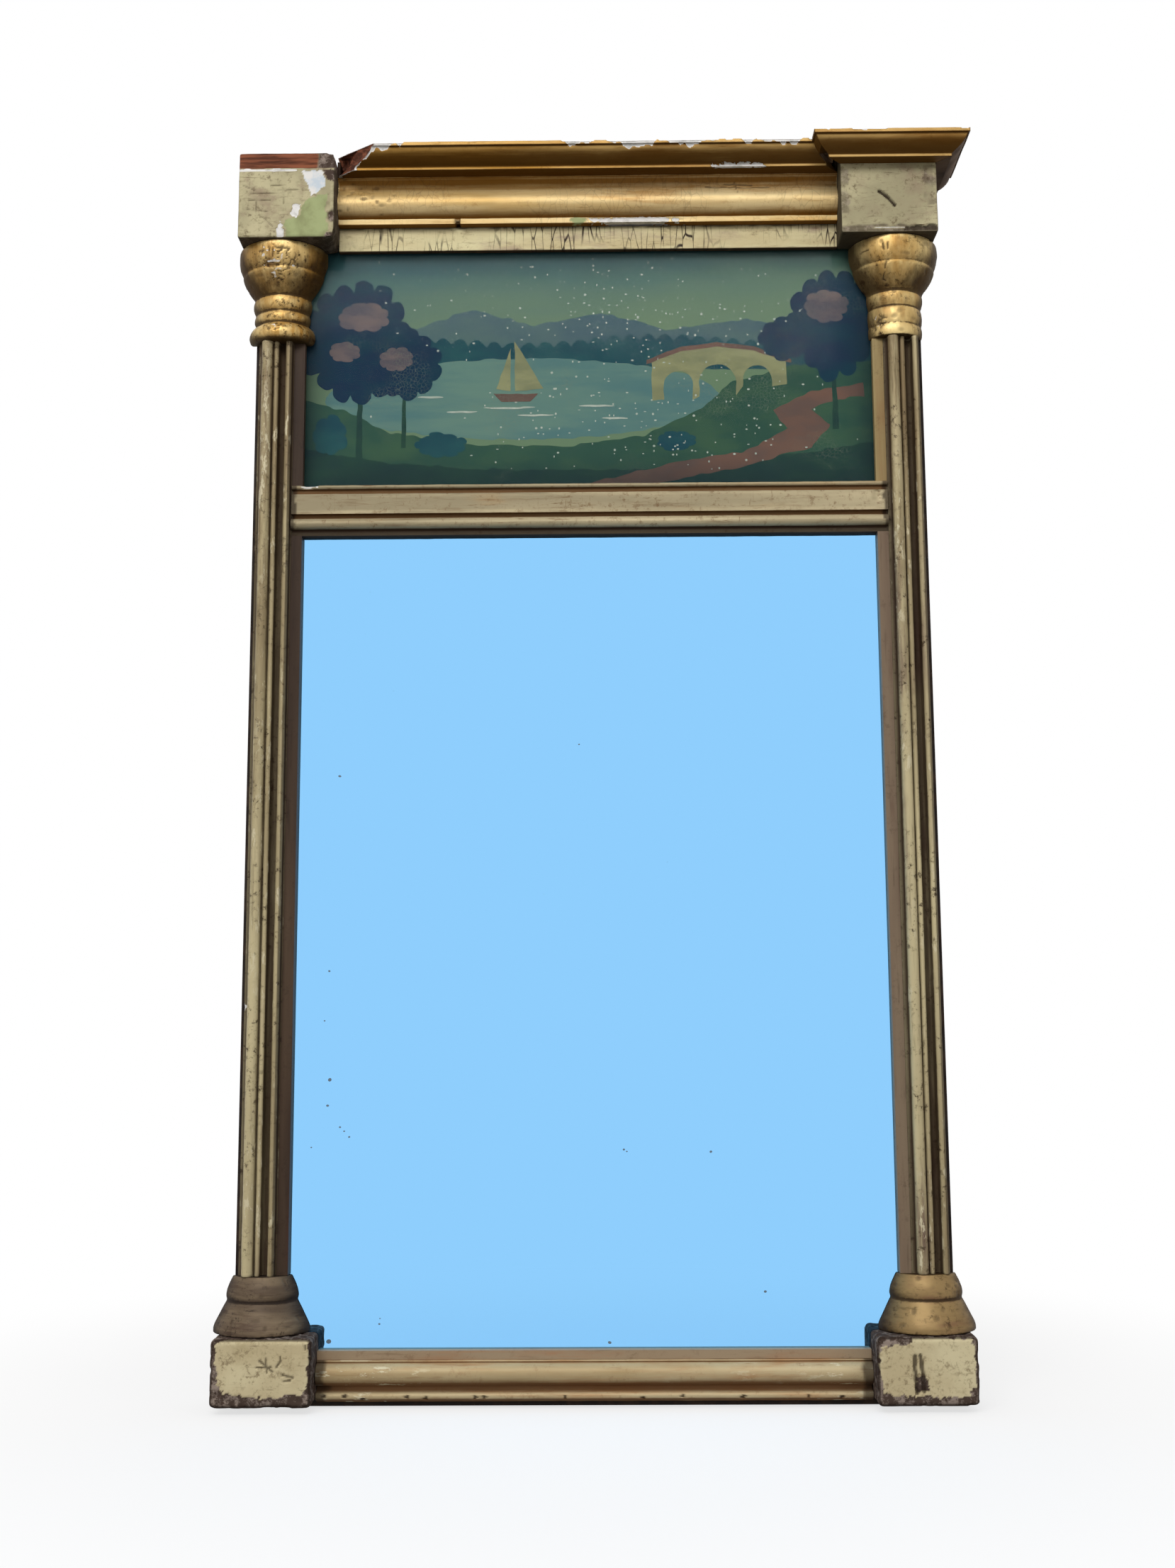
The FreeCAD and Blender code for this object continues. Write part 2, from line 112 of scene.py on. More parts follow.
def clouds(points, size, seed):
    """Smooth noise from -1 to 1 with lumps of about that size."""
    scaled = points / size
    low = np.floor(scaled).astype(np.int64)
    part = scaled - low
    part = part * part * (3 - 2 * part)
    total = np.zeros(len(points))
    for corner in np.ndindex(2, 2, 2):
        weight = np.prod(np.where(np.array(corner), part, 1 - part), axis=1)
        total += weight * hashed(low + np.array(corner), seed)
    return total


def soft(value, low, high):
    """Zero below low, one above high, and smooth between them."""
    t = np.clip((value - low) / (high - low), 0, 1)
    return t * t * (3 - 2 * t)


def blot(co, middle, reach, seed, rag=0.35):
    """A mask that is one inside an uneven oval, seen from the front."""
    across = [(co[:, axis] - m) / r for axis, m, r in zip(FRONT, middle, reach)]
    size = min(reach)
    distance = np.hypot(*across) + rag * (clouds(co, size, seed) + 0.6 * clouds(co, size * 0.4, seed + 1))
    return soft(1 - distance, 0, 0.2)


def inside(co, outline, seed, rag=1.2):
    """A mask that is one inside a polygon with ragged edges, seen from the front."""
    x = co[:, 0] + rag * clouds(co, 3.5, seed) + 0.5 * rag * clouds(co, 1.4, seed + 1)
    z = co[:, 2] + rag * clouds(co, 3.5, seed + 2) + 0.5 * rag * clouds(co, 1.4, seed + 3)
    hit = np.zeros(len(co), bool)
    for (x0, z0), (x1, z1) in zip(outline, outline[1:] + outline[:1]):
        crosses = (z0 > z) != (z1 > z)
        slope = (x1 - x0) / (z1 - z0) if z1 != z0 else 0
        hit ^= crosses & (x < x0 + slope * (z - z0))
    return hit.astype(float)


def near_line(co, points, width, seed):
    """A mask along an uneven line through points, seen from the front."""
    p = co[:, FRONT] + 0.5 * np.stack([clouds(co, 4, seed), clouds(co, 4, seed + 1)], 1)
    best = np.full(len(co), np.inf)
    for a, b in zip(np.array(points[:-1], float), np.array(points[1:], float)):
        way = b - a
        t = np.clip((p - a) @ way / (way @ way), 0, 1)
        best = np.minimum(best, np.hypot(*(p - a - t[:, None] * way).T))
    return soft(width - best, 0, 0.6)


# Meshes
def new_piece(name, mesh, material, slot, *nodes):
    """A piece of the object that rides on its body and may stand for CAD nodes."""
    piece = new_object(name, mesh)
    mesh.materials.clear()
    mesh.materials.append(material)
    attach(piece, BODY)
    if nodes:
        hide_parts(*nodes)
    return piece


def welded(node):
    """A CAD node's mesh with its split corners joined."""
    bm = bmesh.new()
    bm.from_mesh(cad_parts[node].data)
    bmesh.ops.remove_doubles(bm, verts=bm.verts, dist=1e-6)
    return bm


def end_loop(bm, axis, side):
    """The outline of a moulding's end, in order, as points in millimetres."""
    middle = sum((v.co[axis] for v in bm.verts), 0) / len(bm.verts)
    caps = {f for f in bm.faces
            if abs(f.normal[axis]) > 0.2 and side * (f.calc_center_median()[axis] - middle) > 0}
    rim = [e for e in bm.edges if sum(f in caps for f in e.link_faces) == 1]
    links = {}
    for edge in rim:
        a, b = edge.verts
        links.setdefault(a, []).append(b)
        links.setdefault(b, []).append(a)
    loop = [rim[0].verts[0]]
    came = None
    while True:
        ahead = [v for v in links[loop[-1]] if v is not came]
        came = loop[-1]
        if ahead[0] is loop[0]:
            return np.array([v.co for v in loop]) / MM
        loop.append(ahead[0])


def sweep(node, axis, pitch):
    """A CAD moulding built again as an even grid, fine enough to wear and chip."""
    bm = welded(node)
    start, far = end_loop(bm, axis, LEFT), end_loop(bm, axis, RIGHT)
    bm.free()
    keep = [a for a in range(3) if a != axis]
    gaps = np.linalg.norm(start[:, None, keep] - far[None, :, keep], axis=2)
    end = far[gaps.argmin(1)]
    first, last = [], []
    for i in range(len(start)):
        j = (i + 1) % len(start)
        parts = max(1, math.ceil(np.linalg.norm(start[j] - start[i]) / PROFILE_STEP))
        shares = np.arange(parts)[:, None] / parts
        first.append(start[i] + (start[j] - start[i]) * shares)
        last.append(end[i] + (end[j] - end[i]) * shares)
    first, last = np.concatenate(first), np.concatenate(last)
    rows = math.ceil(abs(last - first)[:, axis].max() / pitch) + 1
    shares = np.linspace(0, 1, rows)[:, None, None]
    points = (first + (last - first) * shares).reshape(-1, 3)
    around = len(first)
    here = np.arange(around)
    beside = (here + 1) % around
    quads = [np.stack([r * around + here, r * around + beside, (r + 1) * around + beside,
                       (r + 1) * around + here], 1) for r in range(rows - 1)]
    faces = np.concatenate(quads).tolist()
    faces += [here[::-1].tolist(), ((rows - 1) * around + here).tolist()]
    return outward_mesh(node, points, faces)


def outward_mesh(name, points, faces):
    mesh = bpy.data.meshes.new(name)
    mesh.from_pydata((points * MM).tolist(), [], faces)
    bm = bmesh.new()
    bm.from_mesh(mesh)
    bmesh.ops.recalc_face_normals(bm, faces=bm.faces)
    bm.to_mesh(mesh)
    bm.free()
    return mesh


def remeshed(node):
    """A CAD block or turning built again as an even skin."""
    bm = welded(node)
    mesh = bpy.data.meshes.new(node)
    bm.to_mesh(mesh)
    bm.free()
    holder = new_object("holder", mesh)
    skin = holder.modifiers.new("skin", "REMESH")
    skin.mode = "VOXEL"
    skin.voxel_size = SKIN_VOXEL * MM
    bpy.context.view_layer.update()
    done = bpy.data.meshes.new_from_object(holder.evaluated_get(bpy.context.evaluated_depsgraph_get()))
    bpy.data.objects.remove(holder)
    return done


def mesh_arrays(mesh):
    co, normal = np.empty(len(mesh.vertices) * 3), np.empty(len(mesh.vertices) * 3)
    mesh.vertices.foreach_get("co", co)
    mesh.vertices.foreach_get("normal", normal)
    return co.reshape(-1, 3) / MM, normal.reshape(-1, 3)


def hollowness(mesh, co, normal, rounds=14):
    """Above zero in hollows and below zero on ridges, in about half millimetres."""
    ends = np.empty(len(mesh.edges) * 2, np.int64)
    mesh.edges.foreach_get("vertices", ends)
    a, b = ends.reshape(-1, 2).T
    count = len(co)
    links = np.maximum(np.bincount(a, minlength=count) + np.bincount(b, minlength=count), 1)
    smooth = co.copy()
    for _ in range(rounds):
        smooth = np.stack([(np.bincount(a, smooth[b, k], count) + np.bincount(b, smooth[a, k], count)) / links
                           for k in range(3)], 1)
    return np.clip(((smooth - co) * normal).sum(1) / 0.5, -1, 1)


# Painted shade with grime: faces turned to the room and a little upward stay clean, and the rest is darkened
LIT_SIDE = np.array([0, -0.92, 0.39])


def weather(mesh, wear, lit, unevenness=0.12, sharp=40):
    """Wear a mesh: the wear function gives depths to cut away and masks to paint by."""
    co, normal = mesh_arrays(mesh)
    hollow = hollowness(mesh, co, normal)
    low, high = co.min(0), co.max(0)
    depth = unevenness * (1 + clouds(co, 11, 1) + 0.5 * clouds(co, 4, 2))
    cut, masks = wear(co, normal)
    # Painted shade: hollows and faces turned away from the lit side get a mask that darkens them, together
    # with grime
    turned_away_shade = 1 - soft(normal @ LIT_SIDE, *lit)
    masks["shade_and_grime"] = np.maximum.reduce([soft(hollow, 0.02, 0.5), turned_away_shade, masks.get("shade_and_grime", 0 * turned_away_shade)])
    masks["hollow"] = hollow
    moved = np.clip(co - normal * (depth + cut)[:, None], low, high)
    mesh.vertices.foreach_set("co", (moved * MM).ravel())
    for name, values in masks.items():
        mesh.attributes.new(name, "FLOAT", "POINT").data.foreach_set("value", values.astype(np.float32))
    mesh.shade_smooth()
    mesh.set_sharp_from_angle(angle=math.radians(sharp))
    mesh.update()
    return mesh


# Materials
def tone(red, green, blue):
    """A screen colour as the linear colour that shaders take."""
    levels = [c / 255 for c in (red, green, blue)]
    return tuple(c / 12.92 if c <= 0.04045 else ((c + 0.055) / 1.055) ** 2.4 for c in levels) + (1.0,)


class Nodes:
    """A node tree, with short names for the nodes used here."""

    def __init__(self, tree):
        self.tree = tree

    def add(self, kind, inputs=None, **settings):
        node = self.tree.nodes.new("ShaderNode" + kind)
        for key, value in settings.items():
            setattr(node, key, value)
        for key, value in (inputs or {}).items():
            self.put(node.inputs[key], value)
        return node

    def put(self, socket, value):
        if isinstance(value, bpy.types.NodeSocket):
            self.tree.links.new(value, socket)
        else:
            socket.default_value = value

    def step(self, value, low, high):
        ends = {"Value": value, "From Min": low, "From Max": high}
        return self.add("MapRange", ends, interpolation_type="SMOOTHSTEP").outputs["Result"]

    def math(self, operation, *values):
        return self.add("Math", dict(enumerate(values)), operation=operation).outputs[0]

    def chain(self, operation, values):
        result = values[0]
        for value in values[1:]:
            result = self.math(operation, result, value)
        return result

    def both(self, *masks):
        return self.chain("MULTIPLY", masks)

    def most(self, *masks):
        return self.chain("MAXIMUM", masks)

    def plus(self, base, value, share):
        """A base with a share of a value added."""
        return self.math("ADD", base, self.both(value, share))

    def mix(self, mask, base, over):
        node = self.add("Mix", {0: mask, 6: base, 7: over}, data_type="RGBA")
        return node.outputs[2]


class Paint(Nodes):
    """A material and its nodes."""

    def __init__(self, name):
        self.material = bpy.data.materials.new(name)
        self.material.use_nodes = True
        super().__init__(self.material.node_tree)
        self.shader = self.tree.nodes["Principled BSDF"]
        self.place = self.add("TexCoord").outputs["Object"]

    def surface(self, **inputs):
        """Set the shader's own sockets, with spaces in their names as underscores."""
        for key, value in inputs.items():
            self.put(self.shader.inputs[key.replace("_", " ")], value)

    def stretch(self, scale, where=None):
        return self.add("Mapping", {"Vector": where or self.place, "Scale": scale}).outputs["Vector"]

    def noise(self, size, where=None, detail=4.0, rough=0.55):
        """Noise with lumps of about that size in millimetres."""
        return self.add("TexNoise", {
            "Vector": where or self.place, "Scale": 0.5 / (size * MM), "Detail": detail, "Roughness": rough,
        }).outputs["Fac"]

    def warped(self, amount, size, where=None):
        """Places shifted by noise, so that straight patterns wander."""
        where = where or self.place
        drift = self.add("TexNoise", {"Vector": where, "Scale": 0.5 / (size * MM)}).outputs["Color"]
        shift = self.add("VectorMath", {0: drift, 1: (0.5, 0.5, 0.5)}, operation="SUBTRACT")
        scaled = self.add("VectorMath", {0: shift.outputs[0], "Scale": amount * MM}, operation="SCALE")
        return self.add("VectorMath", {0: where, 1: scaled.outputs[0]}, operation="ADD").outputs[0]

    def cell_edges(self, size, where):
        cells = {"Vector": where, "Scale": 1 / (size * MM)}
        return self.add("TexVoronoi", cells, feature="DISTANCE_TO_EDGE").outputs["Distance"]

    def mask(self, name):
        return self.add("Attribute", attribute_name=name).outputs["Fac"]

    def bump(self, height, reach, strength=0.6):
        node = self.add("Bump", {"Height": height, "Distance": reach * MM, "Strength": strength})
        self.put(self.shader.inputs["Normal"], node.outputs["Normal"])


GESSO = tone(236, 233, 228)
RAW_WOOD = tone(146, 88, 63)
RAW_WOOD_DARK = tone(80, 48, 36)
FILL_GREEN = tone(170, 178, 128)
FILL_BLUE = tone(206, 216, 224)
STAIN_AND_SHADE = tone(44, 32, 25)
WORN = tone(76, 62, 54)
WORN_PALE = tone(160, 144, 132)


def gilding(name, leaf, light, bole, grime_and_shade, metal, rough, run, rub=0.5, crack=0.0, craze=(7, 16),
            scratch=0.0, flake=0.0, mottle=0.3):
    """Old leaf over clay and gesso: rubbed, scratched, cracked and chipped, with painted shade and grime
    where it lies low or turns away, and a painted highlight on ridges.
    """
    p = Paint(name)
    leaf, light, bole, grime_and_shade = (tone(*colour) for colour in (leaf, light, bole, grime_and_shade))
    drawn = p.stretch(run)
    grain = p.noise(1.6, drawn, 6, 0.65)
    broad = p.noise(24, drawn, 5)
    colour = p.mix(p.step(broad, 0.38, 0.64), leaf, light)
    rubbed = p.both(p.step(p.noise(9, drawn, 7, 0.65), 0.48, 0.66), p.step(p.noise(50), 0.38, 0.6), rub)
    colour = p.mix(rubbed, colour, bole)
    # Painted highlight, partly rubbed leaf: ridges are lightened toward the light colour
    ridge_highlight = p.step(p.mask("hollow"), -0.1, -0.6)
    colour = p.mix(p.both(ridge_highlight, p.step(p.noise(5, drawn, 6, 0.7), 0.42, 0.6), 0.6), colour, light)
    # Painted shade with grime: low-lying and turned-away places are darkened toward the grime colour
    drift = p.math("MULTIPLY", p.math("SUBTRACT", p.noise(3.5, drawn, 7, 0.7), 0.5), 0.9)
    settled_shade_and_grime = p.step(p.math("ADD", p.mask("shade_and_grime"), drift), 0.05, 1.0)
    colour = p.mix(p.both(settled_shade_and_grime, 0.92), colour, grime_and_shade)
    colour = p.mix(p.both(p.step(grain, 0.55, 0.72), 0.4), colour, grime_and_shade)
    spots = p.step(p.noise(2.4, None, 7, 0.75), 0.52, 0.64)
    colour = p.mix(p.both(spots, p.step(p.noise(14, None, 5), 0.4, 0.6), mottle), colour, grime_and_shade)
    if scratch:
        across = p.step(p.noise(0.8, p.stretch((0.1, 1, 1), p.warped(2, 9)), 4, 0.6), 0.58, 0.7)
        upright = p.step(p.noise(0.8, p.stretch((1, 1, 0.1), p.warped(2, 9)), 4, 0.6), 0.63, 0.73)
        patch = p.step(p.noise(16, None, 4), 0.42, 0.6)
        colour = p.mix(p.both(p.math("MAXIMUM", across, upright), patch, scratch), colour, grime_and_shade)
    loose = 0.0
    if flake:
        loose = p.both(p.step(p.noise(2.6, p.stretch(tuple(max(r, 0.3) for r in run)), 6, 0.7), 0.56, 0.62),
                       p.step(p.noise(70), 0.44, 0.58), p.step(p.mask("hollow"), 0.0, -0.3), flake)
        colour = p.mix(loose, colour, tone(214, 203, 170))
    lines = 0.0
    if crack:
        cells = p.cell_edges(craze[0], p.warped(4, 6, p.stretch(crack_stretch(run, craze))))
        lines = p.both(p.step(cells, 0.05, 0.012), p.step(p.noise(30), 0.42, 0.58), crack)
        colour = p.mix(lines, colour, STAIN_AND_SHADE)
    wood, green, blue, worn = (p.mask(n) for n in ("wood", "green", "blue", "worn"))
    grown = p.mix(p.step(p.noise(1.6, p.stretch((0.08, 1, 1)), 6, 0.6), 0.36, 0.66), RAW_WOOD_DARK, RAW_WOOD)
    colour = p.mix(wood, colour, grown)
    colour = p.mix(green, colour, p.mix(p.step(p.noise(8), 0.4, 0.65), FILL_GREEN, tone(148, 152, 108)))
    colour = p.mix(blue, colour, p.mix(p.step(p.noise(6), 0.4, 0.6), FILL_BLUE, GESSO))
    scuffed = p.mix(p.both(p.step(p.noise(4, None, 7, 0.75), 0.47, 0.6), 0.85), WORN, WORN_PALE)
    colour = p.mix(worn, colour, scuffed)
    # The stain mask holds real stains and, on some pieces, painted shade
    colour = p.mix(p.mask("stain"), colour, STAIN_AND_SHADE)
    chipped = p.step(p.plus(p.mask("gesso"), p.noise(1.2), 0.3), 0.55, 0.72)
    chalk = p.mix(p.step(p.noise(3.5), 0.45, 0.7), GESSO, tone(206, 203, 196))
    colour = p.mix(chipped, colour, chalk)
    bare = p.most(chipped, wood, green, blue)
    dull = p.most(bare, worn, p.mask("stain"), p.both(settled_shade_and_grime, 0.55))
    p.surface(Base_Color=colour, Specular_IOR_Level=0.12,
              Metallic=p.math("MULTIPLY", p.math("SUBTRACT", 1.0, dull), metal),
              Roughness=p.plus(p.plus(rough - 0.08, grain, 0.16), dull, 0.35))
    raised = p.plus(p.both(grain, 0.3), broad, 0.4)
    lost = p.plus(p.plus(p.both(lines, 0.7), chipped, 0.6), loose, -0.4)
    p.bump(p.math("SUBTRACT", raised, lost), 0.5, 0.5)
    return p.material


def crack_stretch(run, craze):
    """Cells that are short along the run and long across it, so that most cracks cross a moulding."""
    return tuple(1.0 if r < 1 else craze[0] / craze[1] for r in run)


def pine(name, light, dark, along, darkened_outside):
    """Aged softwood with grain along one axis, darker where it faces out from the wall."""
    p = Paint(name)
    light, dark = tone(*light), tone(*dark)
    scale = tuple(0.06 if axis == along else 1.0 for axis in range(3))
    grain = p.noise(2.5, p.warped(1.5, 30, p.stretch(scale)), 7, 0.6)
    rings = p.noise(11, p.stretch(scale), 3)
    colour = p.mix(p.step(grain, 0.35, 0.7), light, dark)
    colour = p.mix(p.both(p.step(rings, 0.5, 0.62), 0.55), colour, dark)
    colour = p.mix(p.both(p.step(p.noise(45), 0.52, 0.7), 0.5), colour, tone(70, 54, 40))
    if darkened_outside:
        # Faces that turn away from the wall are darkened
        normal = p.add("NewGeometry").outputs["Normal"]
        facing = p.add("SeparateXYZ", {0: normal}).outputs["Y"]
        stain = p.mix(p.step(p.noise(6), 0.4, 0.7), tone(30, 23, 19), tone(58, 44, 34))
        colour = p.mix(p.step(facing, 0.5, 0.3), colour, stain)
    p.surface(Base_Color=colour, Specular_IOR_Level=0.2, Roughness=p.plus(0.62, grain, 0.25))
    p.bump(grain, 0.3, 0.5)
    return p.material


def metal(name, base, spots, rough):
    p = Paint(name)
    mottle = p.noise(3, None, 6, 0.65)
    p.surface(Base_Color=p.mix(p.step(mottle, 0.42, 0.66), tone(*base), tone(*spots)), Metallic=0.85,
              Roughness=p.plus(rough, mottle, 0.25))
    p.bump(mottle, 0.08, 0.4)
    return p.material


def mirror_sky_reflection():
    """A silvered plate, tinted like the sky that the photograph shows in it, with small losses."""
    p = Paint("mirror_sky_reflection")
    losses = p.both(p.step(p.noise(1.5, None, 4, 0.6), 0.76, 0.8), p.step(p.noise(50), 0.5, 0.62))
    # Painted reflection: the plate's colour is the pale blue of a reflected sky, and its losses are a duller
    # blue
    colour = p.mix(losses, tone(143, 206, 253), tone(96, 134, 158))
    p.surface(Base_Color=colour, Metallic=1.0, Roughness=p.plus(0.02, losses, 0.3))
    p.bump(p.noise(160, None, 2), 0.02, 0.15)
    return p.material


def window_glass():
    p = Paint("window_glass")
    smear = p.noise(30, p.stretch((1, 1, 0.3)), 5)
    p.surface(Base_Color=tone(40, 52, 52), Roughness=p.plus(0.03, smear, 0.08),
              Alpha=0.05)
    p.material.surface_render_method = "BLENDED"
    return p.material


def darkened_rim(p, colour):
    """Picture paint that is darker toward the rim of the glass."""
    low, high = node_box("paint_film")
    place = p.add("SeparateXYZ", {0: p.place}).outputs
    shares = []
    for axis, name in ((0, "X"), (2, "Z")):
        middle, half = (low[axis] + high[axis]) / 2 * MM, (high[axis] - low[axis]) / 2 * MM
        inward = p.math("SUBTRACT", half, p.math("ABSOLUTE", p.math("SUBTRACT", place[name], middle)))
        shares.append(p.plus(inward, p.math("SUBTRACT", p.noise(30), 0.5), 0.02))
    rim = p.step(p.math("MINIMUM", *shares), 0.03, -0.002)
    return p.mix(p.both(rim, 0.6), colour, tone(16, 38, 46))


def oil(name, base, other, size=9, run=(0.4, 1, 1)):
    """Flat old paint on the back of the glass, uneven and finely crazed."""
    p = Paint(name)
    brush = p.noise(size, p.stretch(run), 6, 0.62)
    colour = p.mix(p.step(brush, 0.36, 0.68), tone(*base), tone(*other))
    cells = p.cell_edges(2.6, p.warped(2, 4))
    craze = p.both(p.step(cells, 0.06, 0.02), p.step(p.noise(22), 0.5, 0.65), 0.35)
    colour = p.mix(craze, colour, tone(128, 138, 118))
    p.surface(Base_Color=darkened_rim(p, colour), Specular_IOR_Level=0.1,
              Roughness=p.plus(0.5, brush, 0.3))
    p.bump(brush, 0.05, 0.3)
    return p.material


# Mouldings: where each is worn and where shade is painted, and how deep
def dusty_top(normal):
    """Bare, dirty wood on what faces up, which was never gilded."""
    return 0.95 * soft(normal[:, 2], 0.8, 0.95)


def near_front(co, reach):
    """A mask within some millimetres of a moulding's foremost edge."""
    return soft(co[:, 1].min() + reach + 0.8 * clouds(co, 4, 9) - co[:, 1], 0, 1)


def wear_inner(co, normal):
    return np.zeros(len(co)), {"worn": dusty_top(normal)}


def groove_shade_and_grime(co, depth, share):
    """A mask over what lies lower than a share of a moulding's depth: painted shade in the grooves, with
    grime that is never rubbed clean.
    """
    out = (co[:, 1].max() - co[:, 1]) / depth
    return soft(share - out, -0.2, 0.2)


def wear_crown_main(co, normal):
    """Chips along the top edge, and broken gesso beside the raw mitre on the left."""
    x, y, z = co.T
    along = np.stack([x, 0 * x, 0 * x], 1)
    stretch = soft(x, -22, -10) * soft(-x, -189, -180) + soft(-x, 132, 140)
    height = stretch * np.maximum(0, 2.2 + 3.0 * clouds(along, 11, 5) + 2.4 * clouds(along, 3.5, 6))
    edge = soft(z - (z.max() - height), 0, 0.5) * (height > 0.3) * near_front(co, 3.5)
    plane, lean = -37.0, 1.372
    cut_at = x.min() + np.maximum(plane - y, 0) * lean
    mitre = soft(cut_at + 2.6 + 1.5 * clouds(co, 5, 7) + clouds(co, 2, 8) - x, 0, 1) * (y < plane + 1)
    fillet = blot(co, (114, 20.6), (21, 2.2), 11) * (y < -44)
    gesso = np.maximum.reduce([edge, mitre, fillet])
    raw = (x - cut_at < 0.3).astype(float)
    return 0.8 * gesso, {"gesso": gesso * (1 - raw), "wood": raw, "worn": dusty_top(normal) * (1 - gesso)}


def wear_break(co, normal):
    """Small losses along the lip of the break."""
    along = np.stack([co[:, 0] + co[:, 1], 0 * co[:, 0], 0 * co[:, 0]], 1)
    height = np.maximum(0, 2.6 * clouds(along, 13, 15) + 1.2 * clouds(along, 3, 16) - 0.6)
    edge = soft(co[:, 2] - (co[:, 2].max() - height), 0, 0.5) * (height > 0.25) * near_front(co, 3)
    return 0.6 * edge, {"gesso": edge * soft(-co[:, 0], -214, -205), "worn": dusty_top(normal) * (1 - edge)}


def wear_return(co, normal):
    """Painted shade: darkened all over, as where the light never reaches."""
    dusty = dusty_top(normal)
    return_shade = np.clip(0.62 + 0.3 * clouds(co, 8, 18), 0, 1)
    return np.zeros(len(co)), {"worn": dusty, "stain": return_shade * (1 - dusty)}


def wear_frieze(co, normal):
    """Lost fillet edge right of the middle, a notch, and scratches on the round."""
    x, _, z = co.T
    lost = blot(co, (36, -13.6), (36, 3.0), 21, 0.3) * (z < -9)
    green = blot(co, (-7, -13.4), (6.5, 2.6), 23, 0.2) * (z < -9)
    notch = soft(2.2 - abs(x + 99), 0, 0.6) * (z < -10.8)
    scratches = np.maximum.reduce([
        near_line(co, [(90, 11.2), (118, 10.2), (138, 10.6)], 0.9, 25),
        near_line(co, [(104, 13.2), (126, 12.6)], 0.8, 26),
        near_line(co, [(112, 14.4), (114, 6)], 0.7, 27)])
    blisters = soft(clouds(co, 3.2, 28), 0.25, 0.7) * soft(-x, 135, 165) * (z > -9)
    cut = 0.8 * lost + 2.0 * notch + 0.5 * scratches + 0.5 * blisters
    stain = np.maximum.reduce([0.6 * scratches, 0.45 * blisters, 0.8 * notch])
    return cut, {"gesso": lost * (1 - green), "green": green, "stain": stain}


def wear_liner(co, normal):
    """Painted shadow along both edges."""
    z = co[:, 2] + 0.5 * clouds(co, 6, 29)
    edges = np.maximum(soft(z - z.max() + 2.0, 0, 1), soft(z.min() + 1.4 - z, 0, 0.8))
    return np.zeros(len(co)), {"stain": 0.8 * edges}


def wear_mid(co, normal):
    """Chipped ends, painted shadow in the quirk under the bead, and painted shade with grime in the grooves.
    """
    x, _, z = co.T
    ends = soft(abs(x) - (x.max() - 3.6) - 0.8 * clouds(co, 4, 31), 0, 0.6)
    left_chip = blot(co, (-209, z.max() - 1), (7, 2.6), 33)
    right_chip = blot(co, (214, z.max() - 12), (2.6, 5), 34)
    quirk_shadow = soft(z.min() + 4.6 - z, 0, 0.4)
    return 0.9 * np.maximum(left_chip, right_chip), {
        "gesso": 0.8 * left_chip * (1 - ends), "stain": np.maximum(0.9 * quirk_shadow, 0.75 * ends),
        "shade_and_grime": groove_shade_and_grime(co, 10.5, 0.38)}


def wear_foot(co, normal):
    """Dark ends, small holes along the lower bead, and painted shade with grime in the grooves."""
    x = co[:, 0]
    ends = soft(abs(x) - 184 - 4 * clouds(co, 7, 35), 0, 4)
    bead = -874
    spots = [(-187, 1, 2.6), (-172, 1, 2.4), (-160, -1.2, 1.6), (-129, 0.4, 1.6), (-116, -0.3, 1.8),
             (-82, 0.5, 1.4), (-76, 0, 1.8), (-20, 0.6, 1.4), (34, -0.5, 1.7), (61, 0.7, 1.3), (103, 0, 1.9),
             (148, 0.4, 1.5), (171, -0.4, 2.2)]
    holes = [blot(co, (place, bead + lift), (wide, 1.5), 36) for place, lift, wide in spots]
    holes = np.maximum.reduce(holes)
    return 0.7 * holes, {"stain": np.maximum(0.75 * ends, 0.9 * holes), "shade_and_grime": groove_shade_and_grime(co, 14, 0.5)}


def wear_shaft(seed):
    def wear(co, normal):
        """Painted shade with grime between the reeds, painted shade along both side edges, and a few chips on
        the outer edge.
        """
        x = co[:, 0]
        outer = soft(x * np.sign(x.mean()) - 246.5, 0, 1) * soft(clouds(co, 5, seed + 2), 0.4, 0.55)
        outer *= soft(clouds(co, 70, seed + 3), 0.1, 0.35)
        # Painted shade: a dark band along both side edges of the shaft
        edge = soft(np.minimum(x.max() - x, x - x.min()) - 2.4, 0.5, 0)
        return 0.45 * outer, {
            "gesso": outer, "shade_and_grime": groove_shade_and_grime(co, 14, 0.4), "stain": 0.6 * edge * (1 - outer)}
    return wear


# Blocks and turnings
def front_of(normal):
    return soft(-normal[:, 1], 0.45, 0.7)


def shave(co, cut, normal, point, facing):
    """Add to the cut so that points beyond a plane come back to it."""
    facing = np.array(facing) / np.linalg.norm(facing)
    beyond = np.maximum((co - np.array(point)) @ facing, 0)
    return np.maximum(cut, beyond * np.maximum(normal @ facing, 0))


def arris_dirt_and_shade(normal):
    """Dark on a block's rounded edges, as dirt and painted shade, and dimmed on its sides as painted shade.
    """
    toward = -normal[:, 1]
    edge = soft(toward, 0.2, 0.5) * soft(-toward, -0.95, -0.75)
    return np.maximum(0.8 * edge, 0.45 * soft(-toward, -0.4, 0))


def lines_on(co, lines, width, seed):
    """A mask along several uneven lines on a front face."""
    return np.maximum.reduce([near_line(co, line, width, seed + n) for n, line in enumerate(lines)])


